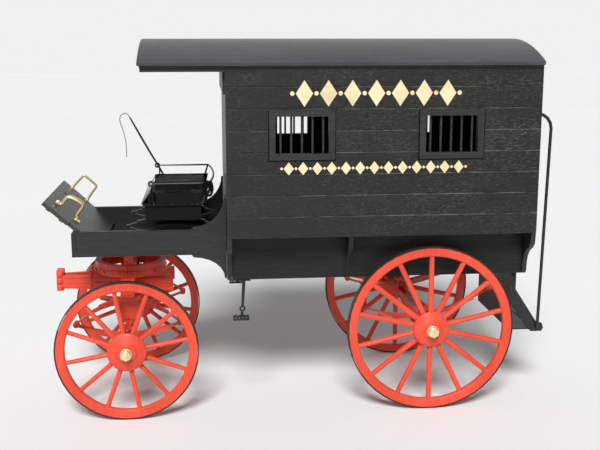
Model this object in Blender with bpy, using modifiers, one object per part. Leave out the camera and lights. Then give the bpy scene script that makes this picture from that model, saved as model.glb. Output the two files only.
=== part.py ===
"""Jail wagon, a wooden scale model at one to twelve.

The wagon's front points along -X and its left side faces -Y.  The origin is on the
ground, under the middle of the overall length and width.  All sizes are in metres.
"""

import math

import bmesh
import bpy
from mathutils import Matrix, Vector

MM = 0.001
GAP = 0.3 * MM
MERGE = 0.01 * MM

# Wheels
FRONT_WHEEL_R = 47.6 * MM
REAR_WHEEL_R = 57.15 * MM
FRONT_SPOKES = 12
REAR_SPOKES = 14
FRONT_SPOKE_TURN = 1 / 3
WHEEL_OUT = 14.0 * MM
RIM_WIDTH = 4.6 * MM
FELLOE_DEPTH = 5.7 * MM
FELLOE_SOFT = 0.7 * MM
TYRE_THICKNESS = 0.7 * MM
FRONT_SPOKE_ROOT_R = 1.8 * MM
FRONT_SPOKE_TIP_R = 1.5 * MM
REAR_SPOKE_ROOT_R = 2.05 * MM
REAR_SPOKE_TIP_R = 1.75 * MM
FRONT_HUB_R = 13.0 * MM
REAR_HUB_R = 12.2 * MM
HUB_INNER_LENGTH = 11.0 * MM
HUB_NOSE = 5.2 * MM
NUT_R = 4.6 * MM
NUT_LENGTH = 4.4 * MM
SPINDLE_R = 1.8 * MM
AXLE_SIZE = 4.4 * MM
WHEEL_STEPS = 48

# Springs
LEAF_WIDTH = 4.6 * MM
LEAF_THICKNESS = 1.05 * MM
EYE_R = 2.1 * MM
EYE_PROUD = 0.25 * MM
FRONT_LEAVES = 4
FRONT_SPRING_IN = 8.0 * MM
FRONT_SPRING_HALF = 35.0 * MM
FRONT_EYE_SHARE = 0.324
CLAMP_LENGTH = 16.4 * MM
CLAMP_WIDTH = 6.4 * MM
CLAMP_HANG = 10.0 * MM
CLAMP_TAPER = 2.0 * MM
STOP_LENGTH = 7.6 * MM
STOP_SIZE = 3.8 * MM
REAR_LEAVES = 3
REAR_SPRING_IN = 7.0 * MM
REAR_SPRING_FRONT = 42.5 * MM
REAR_SPRING_BACK = 45.5 * MM
REAR_EYE_FRONT_SHARE = 0.18
REAR_EYE_BACK_SHARE = 0.62
HANGER = 2.8 * MM
PAD_LENGTH = 12.0 * MM
PAD_THICKNESS = 1.2 * MM

# Turntable and futchells under the driver
FRONT_AXLE_AHEAD = 67.4 * MM
TURNTABLE_DROP = 20.3 * MM
TURNTABLE_R = 25.0 * MM
TURNTABLE_RING = 4.0 * MM
TURNTABLE_HEIGHT = 4.0 * MM
CROSS_BAR = 6.0 * MM
BOLSTER_LENGTH = 9.0 * MM
BOLSTER_HEIGHT = 9.5 * MM
BOLSTER_OUT = 4.0 * MM
KING_PIN_R = 1.6 * MM
KING_PIN_FOOT = 1.0 * MM
FUTCHELL_WIDTH = 3.2 * MM
FUTCHELL_HEIGHT = 9.4 * MM
FUTCHELL_DROP = 2.6 * MM
FUTCHELL_TAIL = 30.0 * MM
FUTCHELL_TAIL_Y = 15.0 * MM
FUTCHELL_NOSE_Y = 1.2 * MM
POLE_HEAD_AHEAD = 52.2 * MM
POLE_HEAD_LENGTH = 4.6 * MM
POLE_HEAD_HALF = 5.0 * MM
POLE_HEAD_LIFT = 3.4 * MM
POLE_HEAD_FALL = 1.6 * MM

# Cell
BODY_LENGTH = 206.5 * MM
BODY_OVERHANG = 69.1 * MM
BODY_HEIGHT = 159.5 * MM
LOWER_HALF = 48.0 * MM
LOWER_HEIGHT = 31.9 * MM
SIDE_OVERHANG = 18.0 * MM
WHEEL_CLEARANCE = 9.1 * MM
WALL = 3.0 * MM
PLANKS = 8
GROOVE_WIDTH = 0.7 * MM
GROOVE_DEPTH = 0.45 * MM
FLOOR_THICKNESS = 2.5 * MM
BENCH_DEPTH = 26.0 * MM
RIB_AHEAD = 56.0 * MM
RIB_THICKNESS = 2.7 * MM
RIB_INSET = 0.5 * MM

# Roof
EAVES = 3.5 * MM
ROOF_RISE = 14.4 * MM
ROOF_THICKNESS = 2.2 * MM
CANOPY_LENGTH = 54.6 * MM
CANOPY_RAIL = 4.6 * MM
CANOPY_SETBACK = 1.5 * MM
HEADER_HEIGHT = 19.0 * MM
HEADER_PROUD = 1.6 * MM

# Windows
WINDOW_WIDTH = 34.5 * MM
WINDOW_HEIGHT = 24.0 * MM
WINDOW_SHARE = 0.599
WINDOW_FRONT_INSET = 48.8 * MM
WINDOW_REAR_INSET = 59.9 * MM
WINDOW_TRIM = 3.9 * MM
WINDOW_LINER = 1.2 * MM
LINER_STEP = 0.2 * MM
TRIM_THICKNESS = 1.0 * MM
BAR_R = 0.8 * MM
BARS = 5

# Rear door
DOOR_WIDTH = 52.0 * MM
DOOR_HEIGHT = 118.0 * MM
DOOR_GAP = 0.6 * MM
DOOR_SILL = 3.0 * MM
HATCH_HALF = 10.0 * MM
HATCH_HEIGHT = 18.0 * MM
HATCH_DROP = 16.0 * MM
HATCH_BARS = 3
HATCH_BAR_PITCH = 5.2 * MM
HINGE_OUT = 1.3 * MM
HINGE_ASIDE = 2.5 * MM
HINGE_R = 1.0 * MM
HINGE_LOW = 14.0 * MM
HINGE_HIGH = 10.0 * MM
KNUCKLE_HALF = 1.5 * MM
KNUCKLE_REACH = 4.5 * MM
STRAP_HALF = 3.0 * MM
STRAP_SETBACK = 8.0 * MM
STRAP_PROUD = 0.9 * MM
BOLT_LENGTH = 11.0 * MM
BOLT_HALF = 2.0 * MM
BOLT_PROUD = 1.4 * MM
PLATE_WIDTH = 1.2 * MM
PLATE_PROUD = 1.0 * MM
SUNK = 0.3 * MM

# Driver's box
BOX_LENGTH = 102.1 * MM
BOX_STEP = 17.8 * MM
BOX_HEIGHT = 17.1 * MM
BOX_WALL = 2.7 * MM
OGEE_LENGTH = 23.5 * MM
OGEE_RISE = 22.0 * MM
OGEE_STEP = 1.8 * MM
OGEE_SHOULDER = 1.5 * MM
OGEE_LIP = 1.2 * MM
TOE_AHEAD = 16.5 * MM
TOE_RISE = 20.6 * MM
TOE_SLOPE = math.radians(42.6)
TOE_THICKNESS = 2.7 * MM
TOE_FULL_WIDTH = 21.0 * MM
TOE_INSET = 1.0 * MM
BATTEN = 3.0 * MM
BATTEN_STARTS = (0.19, 0.71)
BATTEN_PROUD = 2.0 * MM
BATTEN_INSET = 4.0 * MM
SLOT_START = 6.0 * MM
SLOT_LENGTH = 4.0 * MM
SLOT_Y = 12.0 * MM
SLOT_WIDTH = 3.0 * MM

# Brass brackets on the toe board
PEDAL_WIDTH = 3.6 * MM
PEDAL_THICKNESS = 1.0 * MM
PEDAL_IN = 18.0 * MM
PEDAL_START = 3.2 * MM
PEDAL_LENGTH = 24.0 * MM
PEDAL_HEIGHT = 11.0 * MM
LOOP_R = 0.7 * MM
LOOP_IN = 3.0 * MM
LOOP_START = 8.6 * MM
LOOP_LENGTH = 11.6 * MM
LOOP_HEIGHT = 13.0 * MM

# Seat
SEAT_BEHIND = 15.2 * MM
SEAT_DEPTH = 40.0 * MM
SEAT_INSET = 2.5 * MM
SEAT_PAN = 1.4 * MM
SEAT_BOX_HEIGHT = 9.9 * MM
SEAT_BOX_INSET = 1.6 * MM
CUSHION_HEIGHT = 7.4 * MM
CUSHION_LEAN = 5.0 * MM
CUSHION_INSET = 1.0 * MM
CUSHION_EDGE = 1.8 * MM
RISER_HEIGHT = 5.7 * MM
RISER_SETBACK = 4.0 * MM
SEAT_SPRING_HEIGHT = 14.2 * MM
SEAT_SPRING_OUT = 9.4 * MM
SEAT_SPRING_AHEAD = 2.2 * MM
SEAT_SPRING_IN = 19.0 * MM
SEAT_LEAF_WIDTH = 3.6 * MM
SEAT_LEAF_THICKNESS = 1.0 * MM
SEAT_EYE_R = 1.3 * MM
RAIL_RISE = 14.9 * MM
RAIL_R = 0.65 * MM
RAIL_SETBACK = 7.5 * MM
RAIL_LEAN = 4.0 * MM
RAIL_BOW = 3.5 * MM
RAIL_LOOP_R = 1.45 * MM
RAIL_FOOT = 0.5 * MM
WHIP_R = 0.7 * MM
WHIP_REACH = 40.0 * MM

# Steps and handrails
DRIVER_STEP_BEHIND = 11.2 * MM
DRIVER_STEP_DROP = 26.0 * MM
DRIVER_STEM = 2.4 * MM
DRIVER_STEM_WIDTH = 2.0 * MM
DRIVER_STEM_LEAN = 1.5 * MM
DRIVER_TREAD_FRONT = 6.2 * MM
DRIVER_TREAD_BACK = 4.6 * MM
DRIVER_TREAD_OUT = 7.0 * MM
DRIVER_TREAD_THICKNESS = 1.4 * MM
DRIVER_FOOT_LENGTH = 9.0 * MM
DRIVER_FOOT_WIDTH = 4.5 * MM
DRIVER_FOOT_THICKNESS = 1.0 * MM
STEP_DROP = 42.6 * MM
STEP_REACH = 17.8 * MM
STEP_INSET = 8.0 * MM
STEP_WALL = 2.4 * MM
STEP_BOARD = 1.4 * MM
STEP_BACK = 7.5 * MM
STEP_NECK = 3.6 * MM
STEP_SHOULDER = 13.6 * MM
STEP_SLOPE_WIDTH = 9.3 * MM
STEP_LIP = 3.2 * MM
STEP_LIP_LENGTH = 4.6 * MM
STEP_NOSE = 1.2 * MM
STEP_NOSE_DROP = 2.6 * MM
STEP_NOSE_LENGTH = 9.2 * MM
HANDRAIL_IN = 6.0 * MM
HANDRAIL_R = 1.15 * MM
HANDRAIL_OUT = 15.5 * MM
HANDRAIL_RISE = 109.5 * MM
HANDRAIL_BEND = 10.0 * MM
HANDRAIL_LEAN = 3.0 * MM

# Places that follow from the sizes above
BULKHEAD_AHEAD = BODY_LENGTH - BODY_OVERHANG
TOE_FRONT = BOX_LENGTH + TOE_AHEAD + TOE_THICKNESS * math.sin(TOE_SLOPE)
POLE_FRONT = FRONT_AXLE_AHEAD + POLE_HEAD_AHEAD
FRONT_REACH = BULKHEAD_AHEAD + max(TOE_FRONT, POLE_FRONT)
REAR_REACH = BODY_OVERHANG + STEP_REACH
REAR_AXLE_X = (FRONT_REACH - REAR_REACH) / 2
BODY_REAR_X = REAR_AXLE_X + BODY_OVERHANG
BODY_FRONT_X = BODY_REAR_X - BODY_LENGTH
FRONT_AXLE_X = BODY_FRONT_X - FRONT_AXLE_AHEAD
BOX_FRONT_X = BODY_FRONT_X - BOX_LENGTH
ROOF_FRONT_X = BODY_FRONT_X - CANOPY_LENGTH

UPPER_HALF = LOWER_HALF + SIDE_OVERHANG
ROOF_HALF = UPPER_HALF + EAVES
WHEEL_FACE_Y = LOWER_HALF + WHEEL_OUT
FRONT_SPRING_Y = LOWER_HALF - FRONT_SPRING_IN
REAR_SPRING_Y = LOWER_HALF - REAR_SPRING_IN
SEAT_HALF = LOWER_HALF - SEAT_INSET
BOX_INNER = LOWER_HALF - BOX_WALL - GAP

OVERHANG_Z = 2 * REAR_WHEEL_R + WHEEL_CLEARANCE
BODY_BOTTOM_Z = OVERHANG_Z - LOWER_HEIGHT
BOX_BOTTOM_Z = BODY_BOTTOM_Z + BOX_STEP
BOX_TOP_Z = BOX_BOTTOM_Z + BOX_HEIGHT
BOX_FLOOR_Z = BOX_BOTTOM_Z + FLOOR_THICKNESS
TOE_TOP_X = BOX_FRONT_X - TOE_AHEAD
TOE_TOP_Z = BOX_TOP_Z + TOE_RISE
RISER_TOP_Z = BOX_FLOOR_Z + GAP + RISER_HEIGHT
SEAT_BOX_Z = RISER_TOP_Z + SEAT_SPRING_HEIGHT + 2 * GAP
SEAT_PAN_Z = SEAT_BOX_Z + SEAT_BOX_HEIGHT
RING_Z = BOX_BOTTOM_Z - TURNTABLE_DROP
BOLSTER_Z = RING_Z - BOLSTER_HEIGHT
STEP_TREAD_Z = BODY_BOTTOM_Z - STEP_DROP

ROOF_CROWN_Z = BODY_BOTTOM_Z + BODY_HEIGHT
ROOF_R = (ROOF_HALF ** 2 + ROOF_RISE ** 2) / (2 * ROOF_RISE)
ROOF_CENTRE_Z = ROOF_CROWN_Z - ROOF_R
WALL_TOP_Z = ROOF_CENTRE_Z + math.sqrt((ROOF_R - ROOF_THICKNESS) ** 2 - UPPER_HALF ** 2) - GAP
WINDOW_Z = OVERHANG_Z + WINDOW_SHARE * (WALL_TOP_Z - OVERHANG_Z)

PARTS = bpy.data.collections.new("Jail wagon")
CUTTERS = bpy.data.collections.new("Cutters")

BLACK = ("Black painted wood", (0.045, 0.048, 0.048), 0.55, 0.0)
ROOFING = ("Grey black roof", (0.07, 0.078, 0.08), 0.6, 0.0)
IRON = ("Black iron", (0.02, 0.02, 0.022), 0.45, 0.6)
RED = ("Red painted wood", (0.9, 0.11, 0.07), 0.5, 0.0)
TYRE = ("Dark tyre", (0.03, 0.02, 0.018), 0.6, 0.2)
BRASS = ("Brass", (0.87, 0.68, 0.32), 0.3, 1.0)
LEATHER = ("Black leather", (0.02, 0.021, 0.023), 0.35, 0.0)

SIDES = (("left", -1), ("right", 1))


def make_material(name, spec):
    """A Principled material of the piece's own."""
    _, colour, roughness, metallic = spec
    material = bpy.data.materials.new(name)
    material.use_nodes = True
    shader = material.node_tree.nodes["Principled BSDF"]
    shader.inputs["Base Color"].default_value = (*colour, 1.0)
    shader.inputs["Roughness"].default_value = roughness
    shader.inputs["Metallic"].default_value = metallic
    material.diffuse_color = (*colour, 1.0)
    return material


def move_to(obj, collection):
    for old in list(obj.users_collection):
        old.objects.unlink(obj)
    collection.objects.link(obj)


def part(obj, name, spec):
    """Turn an object into a named piece of the wagon."""
    obj.name = name
    move_to(obj, PARTS)
    obj.data.materials.clear()
    obj.data.materials.append(make_material(f"{name} {spec[0].lower()}", spec))
    obj.data.shade_smooth()
    obj.data.set_sharp_from_angle(angle=math.radians(35))
    return obj


def pivot(name, place, children):
    """An empty on a joint's axis, which carries the pieces that move about it."""
    empty = bpy.data.objects.new(name, None)
    empty.empty_display_size = SPINDLE_R
    PARTS.objects.link(empty)
    empty.location = place
    bpy.context.view_layer.update()
    for child in children:
        obj = bpy.data.objects[child]
        obj.parent = empty
        obj.matrix_parent_inverse = empty.matrix_world.inverted()


def cutter(obj):
    """A solid that only shapes others."""
    obj.hide_render = True
    obj.display_type = "WIRE"
    move_to(obj, CUTTERS)
    return obj


def block(x0, x1, y0, y1, z0, z1):
    """A square piece between two corners, whose Y ends may come in either order."""
    bpy.ops.mesh.primitive_cube_add(size=1, location=((x0 + x1) / 2, (y0 + y1) / 2, (z0 + z1) / 2))
    obj = bpy.context.object
    obj.scale = (x1 - x0, abs(y1 - y0), z1 - z0)
    bpy.ops.object.transform_apply(location=False, rotation=False, scale=True)
    return obj


def as_mesh(obj):
    """Replace an object by its evaluated mesh, with loose caps welded."""
    graph = bpy.context.evaluated_depsgraph_get()
    mesh = bpy.data.meshes.new_from_object(obj.evaluated_get(graph))
    bm = bmesh.new()
    bm.from_mesh(mesh)
    bmesh.ops.remove_doubles(bm, verts=bm.verts, dist=MERGE)
    bm.to_mesh(mesh)
    bm.free()
    solid = bpy.data.objects.new(obj.name, mesh)
    solid.matrix_world = obj.matrix_world.copy()
    bpy.context.scene.collection.objects.link(solid)
    bpy.data.objects.remove(obj)
    return solid


PLANES = {
    "XY": (Vector((0, 0, 1)), Matrix.Identity(4)),
    "XZ": (Vector((0, 1, 0)), Matrix(((1, 0, 0, 0), (0, 0, -1, 0), (0, 1, 0, 0), (0, 0, 0, 1)))),
    "YZ": (Vector((1, 0, 0)), Matrix(((0, 0, 1, 0), (1, 0, 0, 0), (0, 1, 0, 0), (0, 0, 0, 1)))),
}


def board(outline, thickness, plane, middle):
    """A flat outline in a plane, given its thickness about its middle."""
    axis, turn = PLANES[plane]
    curve = bpy.data.curves.new("Outline", "CURVE")
    curve.dimensions = "2D"
    curve.fill_mode = "BOTH"
    curve.extrude = thickness / 2
    spline = curve.splines.new("POLY")
    spline.points.add(len(outline) - 1)
    for point, (u, v) in zip(spline.points, outline):
        point.co = (u, v, 0, 1)
    spline.use_cyclic_u = True
    obj = bpy.data.objects.new("Outline", curve)
    bpy.context.scene.collection.objects.link(obj)
    obj.matrix_world = Matrix.Translation(axis * middle) @ turn
    bpy.context.view_layer.update()
    return as_mesh(obj)


def rod(points, radius):
    """Round wire or bar along a line of points."""
    curve = bpy.data.curves.new("Rod", "CURVE")
    curve.dimensions = "3D"
    curve.bevel_depth = radius
    curve.bevel_resolution = 2
    curve.use_fill_caps = True
    spline = curve.splines.new("POLY")
    spline.points.add(len(points) - 1)
    for point, place in zip(spline.points, points):
        point.co = (*place, 1)
    obj = bpy.data.objects.new("Rod", curve)
    bpy.context.scene.collection.objects.link(obj)
    bpy.context.view_layer.update()
    return as_mesh(obj)


def turned(profile, steps, closed=False):
    """A profile of (radius, height) pairs turned about local Z."""
    mesh = bpy.data.meshes.new("Profile")
    count = len(profile)
    edges = [(i, i + 1) for i in range(count - 1)]
    if closed:
        edges.append((count - 1, 0))
    mesh.from_pydata([(r, 0, z) for r, z in profile], edges, [])
    obj = bpy.data.objects.new("Turned", mesh)
    bpy.context.scene.collection.objects.link(obj)
    screw = obj.modifiers.new("Screw", "SCREW")
    screw.steps = steps
    screw.render_steps = steps
    screw.use_merge_vertices = True
    screw.merge_threshold = MERGE
    bpy.context.view_layer.update()
    solid = as_mesh(obj)
    solid.data.transform(Matrix.Rotation(math.pi / steps, 4, "Z"))
    return solid


def boolean(obj, other, operation):
    """Cut or join with a solid, which stays as a hidden tool."""
    modifier = obj.modifiers.new(operation.title(), "BOOLEAN")
    modifier.operation = operation
    modifier.object = cutter(other)


def cut(obj, *others):
    for other in others:
        boolean(obj, other, "DIFFERENCE")
    return obj


def join(obj, *others):
    for other in others:
        boolean(obj, other, "UNION")
    return obj


def pin_y(x, z, y0, y1, radius, steps=12):
    """A round pin across the wagon."""
    solid = turned([(0, y1), (radius, y1), (radius, y0), (0, y0)], steps)
    solid.data.transform(Matrix.Rotation(-math.pi / 2, 4, "X"))
    solid.data.transform(Matrix.Translation((x, 0, z)))
    return solid


def pin_z(x, y, z0, z1, radius, steps=12):
    """A round upright pin."""
    solid = turned([(0, z1), (radius, z1), (radius, z0), (0, z0)], steps)
    solid.data.transform(Matrix.Translation((x, y, 0)))
    return solid


def wire_ring(x, y, z, radius, wire_r):
    """A ring of round wire, seen as a circle from the wagon's side."""
    sides = 6
    turns = [2 * math.pi * i / sides for i in range(sides)]
    solid = turned([(radius + wire_r * math.cos(a), wire_r * math.sin(a)) for a in turns], 14, closed=True)
    solid.data.transform(Matrix.Rotation(math.pi / 2, 4, "X"))
    solid.data.transform(Matrix.Translation((x, y, z)))
    return solid


def roof_under(y):
    """Height just under the roof at a distance from the middle."""
    return ROOF_CENTRE_Z + math.sqrt((ROOF_R - ROOF_THICKNESS) ** 2 - y ** 2) - GAP


def quarter(start, end, steps):
    """Quarter round from start, level there, to end, upright there."""
    points = []
    for i in range(steps + 1):
        angle = math.pi / 2 * i / steps
        x = start[0] + (end[0] - start[0]) * math.sin(angle)
        z = start[1] + (end[1] - start[1]) * (1 - math.cos(angle))
        points.append((x, z))
    return points


def wheel_solid(radius, spokes, spoke_turn, spoke_rs, hub_r):
    """Felloe, spokes and hub in one piece, turned about local Z."""
    outer_r = radius - TYRE_THICKNESS - GAP
    inner_r = outer_r - FELLOE_DEPTH
    half = RIM_WIDTH / 2
    felloe = turned(
        [
            (outer_r, half),
            (outer_r, -half),
            (inner_r + FELLOE_SOFT, -half),
            (inner_r, -half + FELLOE_SOFT),
            (inner_r, half - FELLOE_SOFT),
            (inner_r + FELLOE_SOFT, half),
        ],
        WHEEL_STEPS,
        closed=True,
    )
    bore = SPINDLE_R + GAP
    bore_end = half + 0.62 * HUB_NOSE
    hub = turned(
        [
            (0, half + HUB_NOSE),
            (0.45 * hub_r, half + HUB_NOSE),
            (0.55 * hub_r, half + 0.77 * HUB_NOSE),
            (0.92 * hub_r, half + 0.42 * HUB_NOSE),
            (hub_r, half + 0.27 * HUB_NOSE),
            (hub_r, 0.57 * half),
            (0.62 * hub_r, -half),
            (0.48 * hub_r, -half - HUB_INNER_LENGTH),
            (bore, -half - HUB_INNER_LENGTH),
            (bore, bore_end),
            (0, bore_end),
        ],
        24,
    )
    bm = bmesh.new()
    start_r = 0.5 * hub_r
    length = inner_r - start_r + 0.2 * FELLOE_DEPTH
    for i in range(spokes):
        bmesh.ops.create_cone(
            bm,
            cap_ends=True,
            segments=8,
            radius1=spoke_rs[0],
            radius2=spoke_rs[1],
            depth=length,
            matrix=Matrix.Rotation(2 * math.pi * (i + spoke_turn) / spokes, 4, "Z")
            @ Matrix.Translation((start_r + length / 2, 0, 0))
            @ Matrix.Rotation(math.pi / 2, 4, "Y"),
        )
    mesh = bpy.data.meshes.new("Spokes")
    bm.to_mesh(mesh)
    bm.free()
    spoke_set = bpy.data.objects.new("Spokes", mesh)
    join(felloe, spoke_set, hub)
    bpy.context.view_layer.update()
    return as_mesh(felloe)


def make_wheels(end, axle_x, radius, spokes, spoke_turn, spoke_rs, hub_r):
    """The two wheels of an axle, each with its tyre and brass nut."""
    half = RIM_WIDTH / 2
    bed_r = radius - TYRE_THICKNESS
    wheel = wheel_solid(radius, spokes, spoke_turn, spoke_rs, hub_r)
    tyre = turned([(radius, half), (radius, -half), (bed_r, -half), (bed_r, half)], WHEEL_STEPS, closed=True)
    base = half + HUB_NOSE + GAP
    nut = turned(
        [
            (0, base + NUT_LENGTH),
            (0.7 * NUT_R, base + NUT_LENGTH),
            (0.91 * NUT_R, base + 0.82 * NUT_LENGTH),
            (0.91 * NUT_R, base + 0.32 * NUT_LENGTH),
            (NUT_R, base + 0.25 * NUT_LENGTH),
            (NUT_R, base),
            (0, base),
        ],
        16,
    )
    for side, sign in SIDES:
        outward = Matrix(((0, -sign, 0, 0), (0, 0, sign, 0), (-1, 0, 0, 0), (0, 0, 0, 1)))
        middle = Matrix.Translation((axle_x, sign * (WHEEL_FACE_Y - half), radius))
        for kind, solid, spec in (("wheel", wheel, RED), ("tyre", tyre, TYRE), ("nut", nut, BRASS)):
            obj = bpy.data.objects.new(kind, solid.data.copy())
            bpy.context.scene.collection.objects.link(obj)
            obj.matrix_world = middle @ outward
            part(obj, f"{kind}_{end}_{side}", spec)
    for solid in (wheel, tyre, nut):
        bpy.data.objects.remove(solid)


def rib_edge():
    """Ogee edge of a rib and of both end walls, from the foot up."""
    height = OVERHANG_Z - GAP - BODY_BOTTOM_Z
    shares = (
        (0.03, 0.02),
        (0.10, 0.08),
        (0.15, 0.30),
        (0.23, 0.43),
        (0.44, 0.56),
        (0.75, 0.66),
        (0.92, 0.76),
        (0.97, 0.90),
        (0.97, 1.0),
    )
    return [(LOWER_HALF + a * SIDE_OVERHANG, BODY_BOTTOM_Z + b * height) for a, b in shares]


def end_outline():
    """Outline of the bulkhead and of the rear wall."""
    inner = UPPER_HALF - WALL - GAP
    half = [(LOWER_HALF, BODY_BOTTOM_Z)] + rib_edge()
    half.append((inner, OVERHANG_Z - GAP))
    steps = 8
    for i in range(steps + 1):
        y = inner * (1 - i / steps)
        half.append((y, roof_under(y)))
    return half + [(-y, z) for y, z in reversed(half[:-1])]


def plank_section(sign):
    """Section of a side wall, with a groove between its planks."""
    pitch = (WALL_TOP_Z - OVERHANG_Z) / PLANKS
    section = [(UPPER_HALF, OVERHANG_Z)]
    for i in range(1, PLANKS):
        z = OVERHANG_Z + i * pitch
        section.append((UPPER_HALF, z - GROOVE_WIDTH / 2))
        section.append((UPPER_HALF - GROOVE_DEPTH, z))
        section.append((UPPER_HALF, z + GROOVE_WIDTH / 2))
    section.append((UPPER_HALF, WALL_TOP_Z))
    section.append((UPPER_HALF - WALL, roof_under(UPPER_HALF - WALL)))
    section.append((UPPER_HALF - WALL, OVERHANG_Z))
    return [(sign * y, z) for y, z in section]


def window_places():
    """The windows' names and their middles along the wagon."""
    return (("front", BODY_FRONT_X + WINDOW_FRONT_INSET), ("rear", BODY_REAR_X - WINDOW_REAR_INSET))


def make_cell():
    """Side walls, end walls, floor, benches and lower sides."""
    hole_x = WINDOW_WIDTH / 2 + WINDOW_LINER + GAP
    hole_z = WINDOW_HEIGHT / 2 + WINDOW_LINER + GAP
    for side, sign in SIDES:
        wall = board(plank_section(sign), BODY_LENGTH, "YZ", (BODY_FRONT_X + BODY_REAR_X) / 2)
        for _, x in window_places():
            cut(wall, block(x - hole_x, x + hole_x, sign * (UPPER_HALF - 2 * WALL),
                            sign * (UPPER_HALF + WALL), WINDOW_Z - hole_z, WINDOW_Z + hole_z))
        part(wall, f"side_{side}", BLACK)

    bulkhead = board(end_outline(), WALL, "YZ", BODY_FRONT_X + WALL / 2)
    header_half = UPPER_HALF - 2 * WALL
    join(bulkhead, block(BODY_FRONT_X - HEADER_PROUD, BODY_FRONT_X + SUNK, -header_half, header_half,
                         WALL_TOP_Z - HEADER_HEIGHT, WALL_TOP_Z))
    part(bulkhead, "bulkhead", BLACK)

    rear = board(end_outline(), WALL, "YZ", BODY_REAR_X - WALL / 2)
    sill = BODY_BOTTOM_Z + DOOR_SILL
    cut(rear, block(BODY_REAR_X - 2 * WALL, BODY_REAR_X + WALL, -DOOR_WIDTH / 2, DOOR_WIDTH / 2,
                    sill, sill + DOOR_HEIGHT))
    part(rear, "rear_wall", BLACK)

    x0 = BODY_FRONT_X + WALL + GAP
    x1 = BODY_REAR_X - WALL - GAP
    floor_half = LOWER_HALF - WALL - GAP
    floor = block(x0, x1, -floor_half, floor_half, BODY_BOTTOM_Z, BODY_BOTTOM_Z + FLOOR_THICKNESS)
    part(floor, "cell_floor", BLACK)
    root = LOWER_HALF - RIB_INSET
    edge = [(root, OVERHANG_Z - GAP), (root, BODY_BOTTOM_Z + RIB_INSET)]
    bench_y = UPPER_HALF - WALL - GAP
    for side, sign in SIDES:
        lower = block(x0, x1, sign * (LOWER_HALF - WALL), sign * LOWER_HALF, BODY_BOTTOM_Z, OVERHANG_Z - GAP)
        rib = [(sign * y, z) for y, z in rib_edge() + edge]
        join(lower, board(rib, RIB_THICKNESS, "YZ", REAR_AXLE_X - RIB_AHEAD))
        part(lower, f"lower_side_{side}", BLACK)
        bench = block(x0, x1, sign * (bench_y - BENCH_DEPTH), sign * bench_y,
                      OVERHANG_Z, OVERHANG_Z + FLOOR_THICKNESS)
        part(bench, f"bench_{side}", BLACK)


def make_roof():
    """Arched roof sheet, and the canopy frame's rails and bow over the driver."""
    steps = 20
    edge = math.asin(ROOF_HALF / ROOF_R)
    angles = [-edge + 2 * edge * i / steps for i in range(steps + 1)]
    faces = []
    for r in (ROOF_R, ROOF_R - ROOF_THICKNESS):
        faces.append([(r * math.sin(a), ROOF_CENTRE_Z + r * math.cos(a)) for a in angles])
    outline = faces[0] + faces[1][::-1]
    roof = board(outline, BODY_REAR_X - ROOF_FRONT_X, "YZ", (BODY_REAR_X + ROOF_FRONT_X) / 2)
    part(roof, "roof", ROOFING)

    front = ROOF_FRONT_X + CANOPY_SETBACK
    middle = front + WALL / 2
    back = BODY_FRONT_X - GAP
    steps = 12
    spread = [UPPER_HALF * (2 * i / steps - 1) for i in range(steps + 1)]
    bow = [(y, roof_under(y)) for y in spread]
    bow += [(y, roof_under(y) - CANOPY_RAIL) for y in reversed(spread)]
    frame = board(bow, WALL, "YZ", middle)
    inner = UPPER_HALF - WALL
    foot = WALL_TOP_Z - CANOPY_RAIL
    section = [(UPPER_HALF, roof_under(UPPER_HALF)), (inner, roof_under(inner))]
    section += [(inner, foot), (UPPER_HALF, foot)]
    for _, sign in SIDES:
        join(frame, board([(sign * y, z) for y, z in section], back - middle, "YZ", (back + middle) / 2))
    part(frame, "canopy_frame", BLACK)


def make_window(name, x, sign):
    """Barred window: trim outside, liner in the wall and round bars."""
    half_w = WINDOW_WIDTH / 2
    half_h = WINDOW_HEIGHT / 2
    face = UPPER_HALF + GAP + TRIM_THICKNESS
    back = UPPER_HALF - WALL - TRIM_THICKNESS

    def slab(y0, y1, margin):
        w, h = half_w + margin, half_h + margin
        return block(x - w, x + w, sign * y0, sign * y1, WINDOW_Z - h, WINDOW_Z + h)

    frame = slab(UPPER_HALF + GAP, face, WINDOW_TRIM)
    join(frame, slab(back, face - LINER_STEP, WINDOW_LINER))
    cut(frame, slab(back - WALL, face + WALL, 0))
    pitch = WINDOW_WIDTH / BARS
    reach = half_h + WINDOW_LINER / 2
    bar_y = sign * (UPPER_HALF - WALL / 2)
    for i in range(BARS):
        bar_x = x + (i - (BARS - 1) / 2) * pitch
        join(frame, pin_z(bar_x, bar_y, WINDOW_Z - reach, WINDOW_Z + reach, BAR_R, 8))
    part(frame, name, BLACK)


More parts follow.
